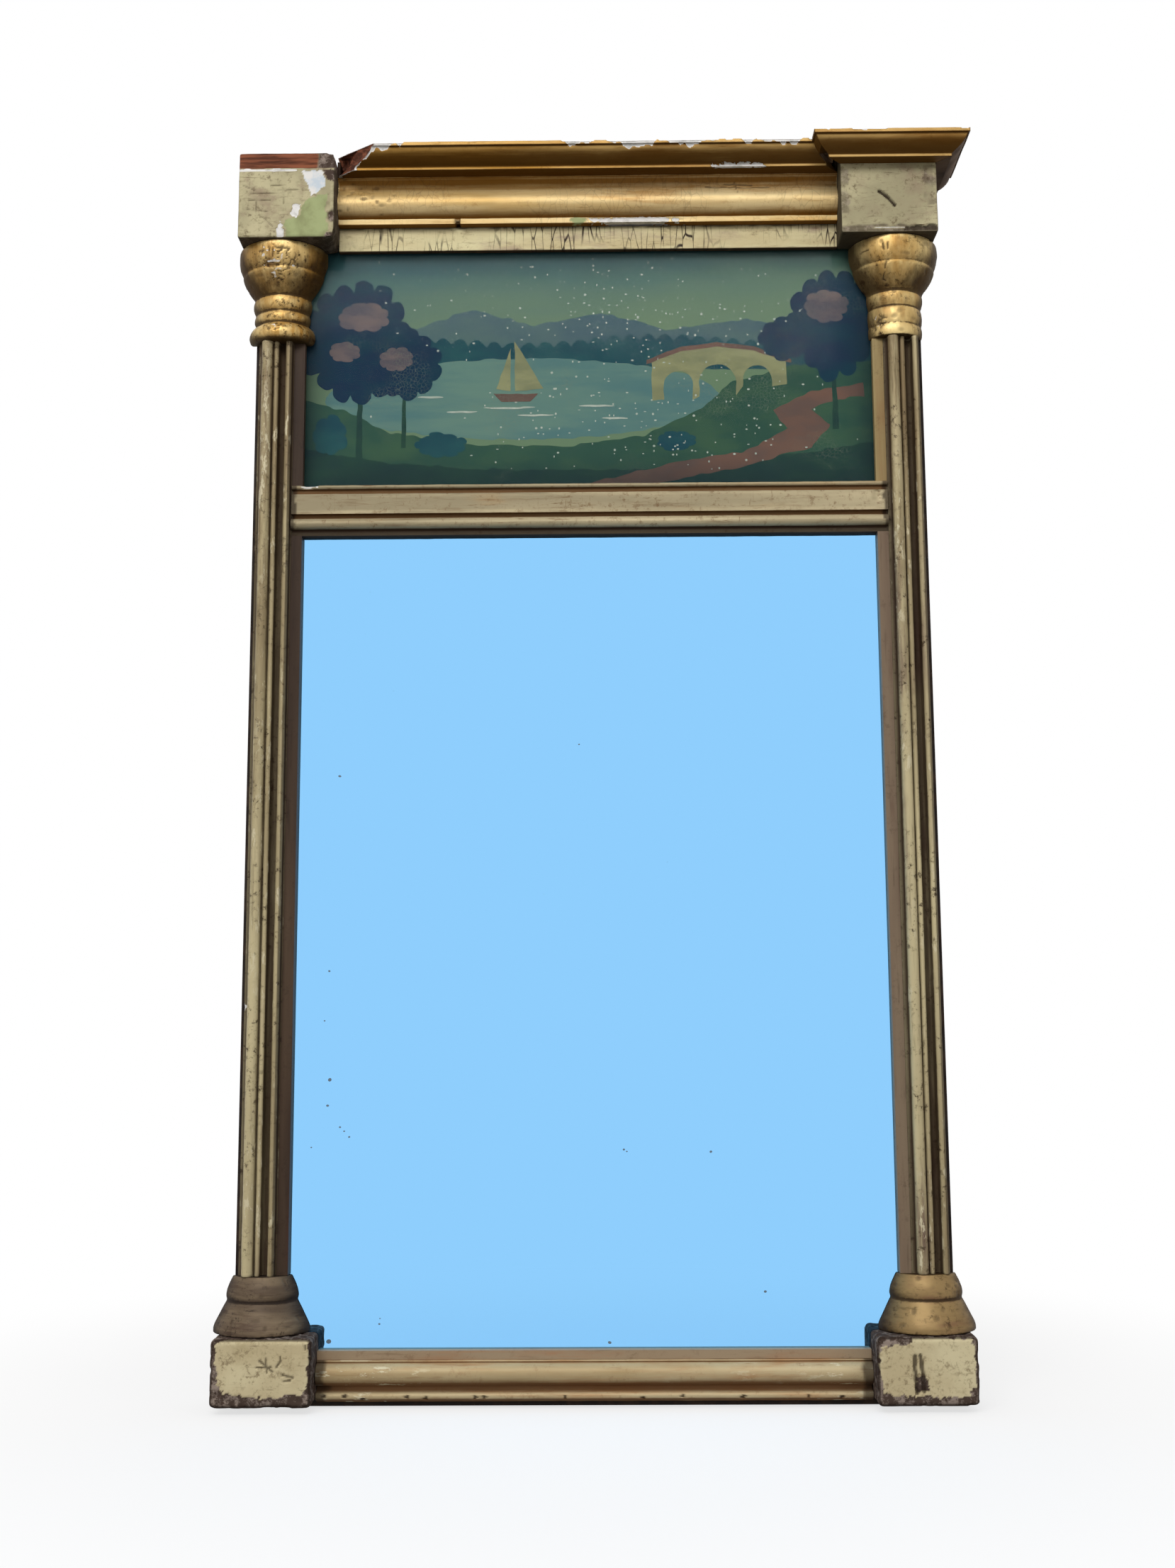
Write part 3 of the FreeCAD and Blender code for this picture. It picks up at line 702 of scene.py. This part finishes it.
def wear_block_upper_left(co, normal):
    """Bare wood where the crown is lost, old fills, a broken lower corner, and painted shade on its sides and
    underside.
    """
    x, _, z = co.T
    front = front_of(normal)
    top = soft(z - 20.2 - 0.7 * clouds(co, 6, 41), 0, 0.6)
    right = soft(x + 204 + 1.5 * clouds(co, 5, 42), 0, 3)
    lip = soft(1.5 + 0.8 * clouds(co, 4, 42) - abs(z - 18.9), 0, 0.8) * front * soft(-x, 215, 222)
    blue = inside(co, [(-214.5, 17.6), (-199.8, 18.9), (-196, 10), (-198, 5), (-207.7, -2.5),
                       (-211.6, 9)], 43) * front
    lilac = inside(co, [(-199, 19.5), (-189, 19.5), (-189, 9), (-196, 10)], 45) * front
    green = inside(co, [(-195, 0.3), (-209.6, -3.4), (-215, -12), (-216.6, -18), (-226.7, -20.7),
                        (-226, -38), (-199, -38), (-194.4, -29.8), (-196.6, -10.4)], 47) * front
    upper, lower = blot(co, (-219.5, -12.5), (4.2, 6.2), 51), blot(co, (-230.4, -30), (3.0, 8), 53)
    white = np.maximum(upper, lower) * front
    ragged = inside(co, [(-199, -6), (-190, -6), (-190, -34), (-197, -34)], 49) * front * (1 - green)
    cut = 0.9 * top * front + 0.5 * white - 0.35 * green + 0.25 * blue
    cut = cut + 0.7 * ragged * soft(clouds(co, 3, 50), -0.3, 0.5)
    cut = shave(co, cut, normal, (-198, -50, 34), (0.75, 0, 1))
    cut = shave(co, cut, normal, (-190, -50, -27), (1, 0, -0.9))
    scratch = lines_on(co, [
        [(-238, 6.6), (-227, 7)], [(-232.6, 2.7), (-217, 3)], [(-253, 0.4), (-230, 0.7)],
        [(-229, 5.5), (-228.3, -8)], [(-258.5, 6.8), (-250, 2.8)], [(-254.5, -4.9), (-238, -5.1)],
        [(-249, -3), (-248.2, -19.6)], [(-256, -12), (-240, -14)], [(-244, -18), (-236, -26)]],
        0.6, 55) * front
    # Painted shade: the block's sides and underside are darkened through the stain and worn masks
    side = (1 - front) * (1 - top)
    worn = np.maximum.reduce([top * right, lilac, ragged * soft(clouds(co, 4, 46), -0.2, 0.3), 0.8 * side])
    return cut + 0.5 * scratch, {
        "wood": top * (1 - right), "green": green * (1 - top), "blue": blue, "worn": worn,
        "gesso": np.maximum(white, 0.9 * lip), "stain": np.clip(0.5 * scratch + 0.6 * side, 0, 1)}


def wear_block_upper_right(co, normal):
    """A curved gash, mauve scuffs, a chipped lower edge, and painted shade on all but the front."""
    x, _, z = co.T
    front = front_of(normal)
    gash = near_line(co, [(218.8, -2.6), (225.9, -8.1), (230.3, -13.9)], 1.5, 61) * front
    foot = soft(z.min() + 5.5 + 2 * clouds(co, 6, 63) - z, 0, 1.5) * front
    scuff = np.maximum(inside(co, [(252, 18), (264, 18), (264, -13), (252, -13)], 65),
                       inside(co, [(189, 15), (197, 15), (196, -20), (189, -20)], 67))
    scuff = scuff * soft(clouds(co, 6, 68), -0.5, 0.4)
    bright = soft(1.1 - abs(z - z.min() - 3.4), 0, 0.6) * soft(13 - abs(x - 226), 0, 2) * front
    chips = inside(co, [(238, -30.5), (263, -29.5), (263, -40), (238, -40)], 69) * front
    # Painted shade: every face but the front is darkened through the stain mask
    return 1.2 * gash + 0.6 * foot + 0.8 * chips, {
        "worn": np.maximum(0.55 * scuff * front, 0.7 * foot * (1 - bright)),
        "stain": np.maximum.reduce([0.95 * gash, 0.75 * chips, 0.85 * (1 - front)]), "gesso": 0.6 * bright}


def wear_block_lower_left(co, normal):
    """A cream face with a star-shaped dent, inside a dark worn rim."""
    front = front_of(normal)
    face = inside(co, [
        (-258, -834.5), (-248, -830.4), (-200, -830.4), (-195, -835), (-194.5, -858), (-198, -867),
        (-217, -870), (-240, -869), (-255, -866), (-258.5, -850)], 70, 1.8) * front
    star = lines_on(co, [
        [(-230, -850), (-220, -850)], [(-223.7, -844.4), (-222.6, -853.3)], [(-228, -846), (-219, -853)],
        [(-214, -843.2), (-213.5, -846), (-216, -850)], [(-212, -855), (-205, -857)],
        [(-211, -859.3), (-206.6, -858.5)], [(-197, -836), (-196.6, -838)]], 0.95, 71) * front
    cut = 0.8 * star + 0.7 * (1 - face) * soft(clouds(co, 4, 75), -0.2, 0.6)
    return cut, {"stain": np.maximum(0.7 * star, arris_dirt_and_shade(normal)), "worn": 1 - face}


def wear_block_lower_right(co, normal):
    """A cream face with two upright gouges, inside a dark worn rim."""
    front = front_of(normal)
    face = inside(co, [(195.5, -838), (203, -836), (217, -835.5), (218, -831.5), (255, -832), (259, -837),
                       (259, -863), (253, -871), (219, -870), (197, -869.6), (194.5, -849)], 80, 1.8) * front
    gouges = np.maximum(near_line(co, [(218.2, -843.8), (218.9, -868.3)], 1.4, 81),
                        near_line(co, [(222.3, -843.8), (223.6, -857.4), (223.8, -867)], 1.5, 83)) * front
    torn = inside(co, [(218.5, -857), (225, -857), (228, -866), (219, -868)], 85) * front
    cut = 1.2 * gouges + 0.7 * (1 - face) * soft(clouds(co, 4, 87), -0.2, 0.6)
    return cut, {"stain": np.maximum(0.8 * gouges, arris_dirt_and_shade(normal)), "worn": np.maximum(1 - face, torn)}


def wear_turning(seed, patches=(), marks=()):
    def wear(co, normal):
        """Dents, soft dark blotches, flaking patches given by middle and reach, and small marks."""
        dents = soft(clouds(co, 5, seed), 0.45, 0.8)
        cut, stain, gesso = 0.35 * dents, 0.3 * dents, 0 * dents
        front = front_of(normal)
        for middle, reach in patches:
            patch = blot(co, middle, reach, seed + 7) * front
            seams = patch * soft(0.16 - abs(clouds(co, 2.7, seed + 18)), 0, 0.12)
            flakes = patch * soft(clouds(co, 2.7, seed + 18), 0.3, 0.55)
            cut, stain = cut + 0.7 * seams, np.maximum(stain, 0.7 * seams)
            gesso = np.maximum(gesso, 0.5 * flakes)
        if marks:
            lines = lines_on(co, marks, 0.8, seed + 5) * front
            cut, stain = cut + 0.6 * lines, np.maximum(stain, 0.75 * lines)
        return cut, {"stain": stain, "gesso": gesso}
    return wear


def add_frame():
    """The gilded front of the frame, worn, over its CAD nodes."""
    bright = gilding("gilt_bright", (160, 115, 42), (190, 156, 96), (130, 80, 18), (84, 51, 3),
        0.35, 0.45, (0.12, 1, 1), rub=0.6)
    frieze = gilding("gilt_frieze", (186, 148, 82), (212, 190, 142), (168, 116, 44), (126, 80, 6),
        0.35, 0.42, (0.1, 1, 1), rub=0.7, crack=0.2, craze=(5, 12))
    turned = gilding("gilt_turned", (174, 128, 56), (230, 204, 142), (112, 72, 25), (44, 27, 8),
        0.4, 0.38, (1, 1, 0.3), rub=1.0, mottle=0.95)
    pink_turned = gilding("gilt_pink", (104, 78, 47), (148, 123, 82), (126, 92, 69), (48, 33, 19),
        0.35, 0.42, (0.3, 0.3, 1.4), rub=0.9, mottle=0.7)
    dark_turned = gilding("gilt_dark", (78, 64, 53), (132, 114, 90), (66, 46, 38), (36, 27, 22),
        0.1, 0.5, (0.2, 0.2, 1.6), rub=1.0, scratch=0.9, mottle=0.9)
    column = gilding("gilt_column", (128, 110, 80), (200, 186, 146), (108, 86, 74), (52, 36, 23),
        0.15, 0.46, (1, 1, 0.07), rub=1.0, flake=0.8, mottle=0.9)
    rail = gilding("gilt_rail", (146, 134, 106), (190, 175, 140), (170, 136, 90), (104, 72, 40),
        0.15, 0.46, (0.08, 1, 1), rub=0.9, scratch=0.7, mottle=0.6)
    foot = gilding("gilt_foot", (160, 134, 92), (192, 175, 138), (172, 120, 72), (132, 94, 60),
        0.15, 0.46, (0.1, 1, 1), rub=0.9, flake=0.9, mottle=0.4)
    liner = gilding("gilt_liner", (192, 176, 134), (212, 203, 160), (160, 138, 118), (104, 76, 48),
        0.1, 0.5, (0.25, 1, 1), rub=0.9, crack=1.0, craze=(5, 34), mottle=0.4)
    upper = gilding("block_upper", (164, 155, 122), (194, 184, 146), (148, 128, 106), (100, 84, 58),
        0.05, 0.55, (0.7, 1, 1), rub=0.8, scratch=1.0, mottle=0.7)
    lower = gilding("block_lower", (198, 182, 144), (218, 205, 166), (172, 154, 116), (118, 98, 70),
        0.05, 0.55, (0.8, 1, 1), rub=0.6, scratch=0.5, mottle=0.7)
    x, y, z = range(3)
    # The last pair says how far a face turns to the room before its painted shade and grime fade out
    shaded, usual = (0.3, 0.9), (-0.1, 0.75)
    mouldings = [
        ("crown_main", x, 1.0, bright, wear_crown_main, shaded),
        ("crown_inner_return", y, 1.2, bright, wear_inner, shaded),
        ("crown_break_front", x, 1.0, bright, wear_break, shaded),
        ("crown_outer_return", y, 1.2, bright, wear_return, shaded),
        ("frieze_moulding", x, 1.1, frieze, wear_frieze, (-0.1, 0.98)),
        ("frieze_liner", x, 2.0, liner, wear_liner, shaded),
        ("mid_moulding", x, 1.6, rail, wear_mid, (-0.5, 0.4)),
        ("foot_moulding", x, 1.6, foot, wear_foot, (0.2, 0.9)),
        ("shaft_left", z, 2.2, column, wear_shaft(101), usual),
        ("shaft_right", z, 2.2, column, wear_shaft(121), usual),
    ]
    for node, axis, pitch, material, wear, lit in mouldings:
        new_piece("worn_" + node, weather(sweep(node, axis, pitch), wear, lit), material, "gilt", node)
    left_patches = [((-234, -48), (16, 10)), ((-231, -61), (8, 6)), ((-238, -100), (9, 3))]
    right_marks = [[(221, -42), (221.6, -47)], [(224.6, -42), (224.4, -46.5)], [(223, -55), (222.6, -60)],
                   [(222.4, -63), (221.6, -67), (223.4, -68)], [(206, -45), (211, -44)]]
    flat, rounded = (-2.0, -1.5), (0.25, 1.0)
    chunks = [
        ("block_upper_left", upper, wear_block_upper_left, flat),
        ("block_upper_right", upper, wear_block_upper_right, flat),
        ("block_lower_left", lower, wear_block_lower_left, flat),
        ("block_lower_right", lower, wear_block_lower_right, flat),
        ("capital_left", turned, wear_turning(141, left_patches), rounded),
        ("capital_right", turned, wear_turning(151, [((218, -97), (7, 7))], right_marks), rounded),
        ("base_left", dark_turned, wear_turning(161), rounded),
        ("base_right", pink_turned, wear_turning(171), rounded),
    ]
    for node, material, wear, lit in chunks:
        new_piece("worn_" + node, weather(remeshed(node), wear, lit), material, "gilt", node)


def add_crown_fills():
    """Dark fillers in the slits between the crown's ends and the upper blocks: old glue and dirt, and painted
    shade of the joints.
    """
    p = Paint("slit_dirt_and_shade")
    colour = p.mix(p.noise(2), tone(40, 30, 24), tone(66, 50, 38))
    p.surface(Base_Color=colour, Specular_IOR_Level=0.1, Roughness=0.8)
    p.bump(p.noise(1), 0.2, 0.5)
    faces = [(0, 1, 3, 2), (4, 6, 7, 5), (0, 4, 5, 1), (2, 3, 7, 6), (0, 2, 6, 4), (1, 5, 7, 3)]
    joint = node_box("block_upper_right")[0][0]
    into_crown, into_block = 1.8, 0.3
    front, back, foot = -35.5, -21, 20
    for word, side, top in (("left", LEFT, 32.5), ("right", RIGHT, 34.5)):
        across = sorted((side * (joint - into_crown), side * (joint + into_block)))
        points = [(x, y, z) for x in across for y in (front, back) for z in (foot, top)]
        name = "crown_fill_" + word
        new_piece(name, outward_mesh(name, np.array(points), faces), p.material, "pine")


def dress_nodes():
    """Materials for the CAD nodes that show as they are."""
    frame_pine, board_pine = ((176, 140, 96), (128, 92, 58)), ((168, 134, 94), (118, 86, 56))
    across, upright = 0, 2
    stile = pine("pine_stile", *frame_pine, upright, True)
    rail = pine("pine_rail", *frame_pine, across, True)
    board = pine("pine_board", *board_pine, upright, False)
    cross_board = pine("pine_cross_board", *board_pine, across, False)
    # The left slips' dark brown is partly their own worn colour and partly painted shade
    slip = gilding("slip_dark_and_shaded", (54, 41, 33), (92, 74, 58), (72, 44, 36), (32, 24, 20),
        0.05, 0.5, (1, 1, 0.06), rub=0.9)
    slip_right = gilding("slip_brown", (108, 88, 74), (140, 122, 100), (96, 68, 56), (60, 45, 36),
        0.05, 0.5, (1, 1, 0.06), rub=0.9)
    slip_gold = gilding("slip_gold", (142, 122, 82), (172, 154, 110), (136, 98, 62), (92, 66, 42),
        0.1, 0.5, (1, 1, 0.06), rub=0.9)
    foot_slip = gilding("slip_foot", (142, 112, 82), (160, 140, 114), (166, 120, 86), (98, 72, 50),
        0.1, 0.5, (0.1, 1, 1), rub=0.9)
    brass = metal("brass", (176, 146, 84), (112, 88, 50), 0.3)
    iron = metal("iron", (74, 66, 60), (104, 66, 44), 0.5)
    finishes = [
        (stile, "stile_left stile_right"),
        (rail, "top_rail divider_rail foot_rail crown_return_filler"),
        (board, "backboard_lower_left backboard_lower_right glass_blocks_upper glass_blocks_lower"),
        (board, "crown_glue_blocks block_dowels"),
        (cross_board, "backboard_upper"),
        (slip, "slip_upper_left slip_lower_left"),
        (slip_gold, "slip_upper_right"),
        (slip_right, "slip_lower_right"),
        (foot_slip, "slip_foot"),
        (brass, "hanger_left hanger_right"),
        (iron, "hanger_screws nails_upper nails_lower"),
        (window_glass(), "painted_glass"),
        (mirror_sky_reflection(), "mirror_plate"),
    ]
    for material, names in finishes:
        for name in names.split():
            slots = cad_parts[name].data.materials
            for index in range(len(slots)):
                slots[index] = material
            if not len(slots):
                slots.append(material)


# Picture on the back of the upper glass: a lake with a boat, a bridge and trees, in flat layers
LAYER = 0.012
STAGGERS = 37  # outlines of one layer lie at this many depths, so that neighbours share no plane


def flat_layer(name, outlines, depth, material, wobble=0.8, *nodes):
    """Flat painted shapes at about one depth, with hand-drawn edges."""
    low, high = node_box("paint_film")
    points, faces = [], []
    for number, outline in enumerate(outlines):
        ring = np.clip(hand_drawn(outline, wobble, number), low[FRONT], high[FRONT])
        faces.append(list(range(len(points), len(points) + len(ring))))
        y = low[1] + (depth - 0.9 * (number % STAGGERS) / STAGGERS) * LAYER
        points += [(x, y, z) for x, z in ring]
    name = "picture_" + name
    mesh = bpy.data.meshes.new(name)
    mesh.from_pydata((np.array(points) * MM).tolist(), [], faces)
    bm = bmesh.new()
    bm.from_mesh(mesh)
    for face in bm.faces:
        face.normal_update()
        if face.normal.y > 0:
            face.normal_flip()
    bmesh.ops.triangulate(bm, faces=bm.faces)
    bm.to_mesh(mesh)
    bm.free()
    return new_piece(name, mesh, material, "paint", *nodes)


def hand_drawn(outline, wobble, seed):
    """An outline with evenly spaced points, moved a little by noise."""
    ring, spacing = [], 2
    for a, b in zip(outline, outline[1:] + outline[:1]):
        count = max(1, round(math.dist(a, b) / spacing))
        ring += [(a[0] + (b[0] - a[0]) * i / count, a[1] + (b[1] - a[1]) * i / count) for i in range(count)]
    ring = np.array(ring)
    places = np.stack([ring[:, 0], ring[:, 1], np.full(len(ring), seed * 37.0)], 1)
    return ring + wobble * np.stack([clouds(places, 6, 201), clouds(places, 6, 202)], 1)


def disc(x, z, wide, high, count=28):
    return [(x + wide * math.cos(2 * math.pi * i / count), z + high * math.sin(2 * math.pi * i / count))
            for i in range(count)]


def canopy(x, z, wide, high, lobes, seed):
    """A tree's crown as one outline with leafy lobes."""
    pick = np.random.default_rng(seed)
    swell = pick.uniform(0.93, 1.05, lobes)
    outline, points = [], 9
    for i in range(lobes * points):
        turn = 2 * math.pi * i / (lobes * points)
        reach = swell[i // points] * (0.86 + 0.15 * math.sin(math.pi * (i % points) / points) ** 0.6)
        outline.append((x + wide * reach * math.cos(turn), z + high * reach * math.sin(turn)))
    return outline


def hedge(start, end, foot, top, lobe):
    """A far line of trees with a scalloped top."""
    outline, step = [(start, foot)], 1.5
    for i in range(round((end - start) / step)):
        x = start + step * i
        bulge = 0.45 * lobe * abs(math.sin(math.pi * x / lobe)) ** 0.7
        outline.append((x, top + 3 * math.sin(x / 31) + bulge))
    return outline + [(end, foot)]


def arch(x, foot, spring, half):
    """One arched opening of a bridge, walked from its left foot to its right."""
    turns = [math.pi * i / 12 for i in range(13)]
    curve = [(x - half * math.cos(turn), spring + half * math.sin(turn)) for turn in turns]
    return [(x - half, foot)] + curve + [(x + half, foot)]


def sky_paint():
    """Blue-green above, and paler toward the horizon and the right."""
    p = Paint("paint_sky")
    place = p.add("SeparateXYZ", {0: p.place}).outputs
    brush = p.noise(22, p.stretch((0.25, 1, 1)), 6)
    level = p.plus(p.plus(p.both(place["Z"], -9.0), place["X"], 0.9), brush, 0.7)
    colour = p.mix(p.step(level, 0.45, 1.3), tone(60, 106, 110), tone(112, 140, 108))
    p.surface(Base_Color=darkened_rim(p, colour), Specular_IOR_Level=0.1, Roughness=p.plus(0.5, brush, 0.2))
    p.bump(brush, 0.05, 0.3)
    return p.material


def add_picture():
    """The layers of the picture, with their depths, from the back to the front."""
    low, high = node_box("paint_film")
    left, foot, right, top = low[0], low[2], high[0], high[2]
    ground = [(left, foot), (right, foot), (right, top), (left, top)]
    flat_layer("sky", [ground], 22, sky_paint(), 0, "paint_film")
    navy = oil("paint_navy", (14, 44, 72), (16, 58, 76))
    teal = oil("paint_teal", (24, 72, 84), (38, 88, 92))
    slate = oil("paint_slate", (66, 98, 108), (82, 112, 110), 16)
    water = oil("paint_water", (86, 128, 128), (110, 146, 132), 10, (0.15, 1, 1))
    green = oil("paint_green", (46, 84, 70), (64, 98, 74), 10)
    deep_green = oil("paint_deep_green", (30, 62, 58), (42, 76, 62), 10)
    clay = oil("paint_clay", (122, 92, 78), (106, 86, 78), 7)
    mauve = oil("paint_mauve", (88, 84, 92), (120, 106, 104), 5)
    stone = oil("paint_stone", (156, 158, 114), (134, 138, 102), 6)
    white = oil("paint_white", (196, 206, 192), (176, 190, 176), 3, (1, 1, 0.3))
    flat_layer("hills", [
        [(left, -120), (left, -92), (-170, -84), (-130, -94), (-90, -78), (-40, -92), (10, -82), (60, -96),
         (120, -88), (170, -98), (right, -92), (right, -120)]], 20, slate, 1.2)
    flat_layer("far_shore", [hedge(left, right, -128, -108, 13)], 19, teal, 0.6)
    flat_layer("lake", [disc(-50, -150, 150, 32, 60)], 18, water, 1.0)
    flat_layer("meadow", [
        [(left, foot), (left, -150), (-185, -158), (-150, -176), (-90, -186), (-20, -188), (40, -180),
         (84, -160), (110, -138), (150, -126), (right, -122), (right, foot)]], 16, green, 1.2)
    flat_layer("bank", [
        [(left, foot), (left, -188), (-150, -200), (-60, -206), (60, -206), (150, -196), (right, -186),
         (right, foot)]], 15, deep_green, 1.2)
    flat_layer("path", [
        [(208, -140), (170, -146), (140, -160), (150, -176), (120, -192), (60, -202), (-10, foot), (40, foot),
         (110, -206), (168, -190), (182, -172), (168, -160), (190, -152), (208, -150)]], 14, clay, 1.2)
    flat_layer("bridge", [
        [(48, -152), (48, -120), (70, -113), (98, -110), (126, -113), (150, -121), (150, -140)]
        + arch(128, -142, -136, 11)[::-1] + arch(98, -149, -138, 14)[::-1] + arch(68, -152, -140, 11)[::-1]],
        13, stone, 0.4)
    flat_layer("coping", [
        [(44, -120), (70, -110), (98, -106.5), (126, -110), (154, -120.5), (154, -123.5), (126, -113.5),
         (98, -110), (70, -113.5), (44, -123.5)]], 12, clay, 0.4)
    flat_layer("trunks", [
        [(-176, -196), (-171, -196), (-172, -130), (-175, -130)],
        [(-142, -188), (-138, -188), (-139, -140), (-141, -140)],
        [(184, -176), (189, -176), (187, -112), (185, -112)]], 11, deep_green, 0.5)
    flat_layer("trees", [
        canopy(-176, -104, 44, 50, 15, 3), canopy(-140, -122, 28, 28, 11, 4), canopy(186, -92, 36, 44, 13, 5),
        canopy(150, -104, 20, 18, 9, 6)], 10, navy, 0.9)
    flat_layer("leaves", [
        canopy(-172, -84, 20, 12, 9, 7), canopy(-186, -112, 12, 8, 7, 13), canopy(-146, -118, 13, 10, 8, 8),
        canopy(182, -78, 17, 13, 9, 9)], 9, mauve, 0.9)
    flat_layer("shrubs", [
        canopy(-112, -186, 20, 10, 9, 10), canopy(66, -184, 16, 8, 8, 11), canopy(-196, -178, 14, 16, 7, 12)],
        8, teal, 0.8)
    flat_layer("boat", [[(-72, -146), (-38, -146), (-44, -152), (-66, -152)]], 7, clay, 0.4)
    flat_layer("sail", [
        [(-56, -144), (-56, -104), (-34, -142)], [(-59, -144), (-59, -110), (-70, -142)]], 7, stone, 0.4)
    ripples = [(-60, -157, 20), (-40, -163, 14), (-96, -160, 12), (-120, -148, 10), (6, -156, 14),
               (20, -166, 10)]
    flat_layer("ripples", [disc(x, z, wide, 0.8, 14) for x, z, wide in ripples], 6, white, 0.5)
    add_flakes(white)


def add_flakes(material):
    """Specks where the paint has let go, thickest right of the middle."""
    pick = np.random.default_rng(77)
    specks = []
    side, foot, top = 205, -214, -38
    crowds = [((40, -80), (70, 26), 190), ((30, -165), (80, 22), 170), ((-60, -60), (90, 16), 40)]
    for middle, spread, count in crowds:
        for x, z in pick.normal(middle, spread, (count, 2)):
            if abs(x) < side and foot < z < top:
                specks.append(disc(x, z, pick.uniform(0.3, 1.1), pick.uniform(0.3, 1.0), 7))
    flat_layer("flakes", specks, 3, material, 0.2)


def add_mirror_specks():
    """Small dark losses in the silvering, on the plate's face."""
    spots = [
        (-183.6, -438.6, 1.0), (-189.1, -580.6, 0.9), (-187.8, -657.6, 1.4), (-189, -676.1, 1.0),
        (-179.7, -691, 0.8), (-176.6, -694, 0.7), (-173, -698, 0.8), (-8.5, -416.1, 0.7), (21.9, -707.7, 0.9),
        (24, -709, 0.6), (83.6, -709.5, 1.0), (120.3, -805.5, 1.1), (-184.9, -838, 1.8), (10.9, -839.1, 1.2),
        (-150.3, -826.6, 0.8), (-192, -616, 0.6), (-200, -705, 0.6), (-150, -823, 0.5)]
    lift = 0.02
    face = node_box("mirror_plate")[0][1] - lift
    points, faces = [], []
    for number, (x, z, size) in enumerate(spots):
        ring = hand_drawn(disc(x, z, size, size * 0.8, 9), size * 0.5, number)
        faces.append(list(range(len(points), len(points) + len(ring))))
        points += [(a, face, b) for a, b in ring]
    mesh = outward_mesh("mirror_specks", np.array(points), faces)
    p = Paint("silver_loss")
    p.surface(Base_Color=p.mix(p.noise(1), tone(70, 86, 100), tone(118, 140, 158)), Roughness=0.6)
    new_piece("mirror_specks", mesh, p.material, "silvered")


# Stage: what the camera sees directly, in gilding and through glass is white
SHOWN_RAYS = ("Is Camera Ray", "Is Glossy Ray", "Is Transmission Ray")
WHITE = (1, 1, 1, 1)


def add_world():
    """White to the camera and in reflections, and even soft light on the object."""
    world = bpy.data.worlds.new("studio")
    bpy.context.scene.world = world
    world.use_nodes = True
    world.node_tree.nodes.clear()
    n = Nodes(world.node_tree)
    toward = n.add("TexCoord").outputs["Generated"]
    height = n.add("SeparateXYZ", {0: toward}).outputs["Z"]
    lift = n.add("MapRange", {"Value": height, "From Min": -1}).outputs["Result"]
    ramp = n.add("ValToRGB", {0: lift})
    stops = [(-1, tone(52, 48, 44)), (-0.25, tone(96, 94, 92)), (0.1, tone(176, 176, 176)),
             (1, tone(206, 206, 206))]
    while len(ramp.color_ramp.elements) < len(stops):
        ramp.color_ramp.elements.new(0.5)
    for element, (place, colour) in zip(ramp.color_ramp.elements, stops):
        element.position = (place + 1) / 2
        element.color = colour
    colour = ramp.outputs["Color"]
    path = n.add("LightPath").outputs
    for ray in SHOWN_RAYS:
        colour = n.mix(path[ray], colour, WHITE)
    light = n.add("Background", {"Color": colour})
    n.add("OutputWorld", {0: light.outputs[0]})


def add_lamp(name, place, aim, size, power, mirrored=True):
    data = bpy.data.lights.new(name, "AREA")
    data.shape = "RECTANGLE"
    data.size, data.size_y = size
    data.energy = power
    lamp = new_object(name, data)
    lamp.location = place
    lamp.visible_glossy = mirrored
    lamp.rotation_euler = (Vector(aim) - Vector(place)).to_track_quat("-Z", "Y").to_euler()


def add_floor():
    """A pale floor under the foot, white to the camera but for the object's shadow."""
    half, gap = 4.0, 0.0005
    foot = cad_box[0].z - gap
    corners = [(-half, -half, foot), (half, -half, foot), (half, half, foot), (-half, half, foot)]
    mesh = bpy.data.meshes.new("floor")
    mesh.from_pydata(corners, [], [(0, 1, 2, 3)])
    floor = new_object("floor", mesh)
    p = Paint("floor")
    p.surface(Base_Color=tone(240, 240, 240), Roughness=0.9)
    glow = p.add("Emission")
    middle = (0, 0, foot)
    away = p.add("VectorMath", {0: p.place, 1: middle}, operation="DISTANCE").outputs["Value"]
    path = p.add("LightPath").outputs
    shown = p.most(*(path[ray] for ray in SHOWN_RAYS))
    seen = p.both(shown, p.plus(0.7, p.step(away, 0.25, 0.7), 0.3))
    both = p.add("MixShader", {0: seen, 1: p.shader.outputs[0], 2: glow.outputs[0]})
    p.put(p.tree.nodes["Material Output"].inputs["Surface"], both.outputs[0])
    mesh.materials.append(p.material)
    floor.visible_diffuse = False


def add_stage():
    bpy.context.scene.view_settings.view_transform = "Standard"
    add_world()
    add_floor()
    middle = (0, 0, -0.35)
    add_lamp("key", (-0.5, -2.4, 1.55), middle, (2.4, 1.2), 54)
    for name, side in (("fill_left", LEFT), ("fill_right", RIGHT)):
        add_lamp(name, (1.9 * side, -1.7, -0.5), middle, (0.8, 1.8), 8, False)


add_camera()
add_frame()
add_crown_fills()
dress_nodes()
add_picture()
add_mirror_specks()
add_stage()
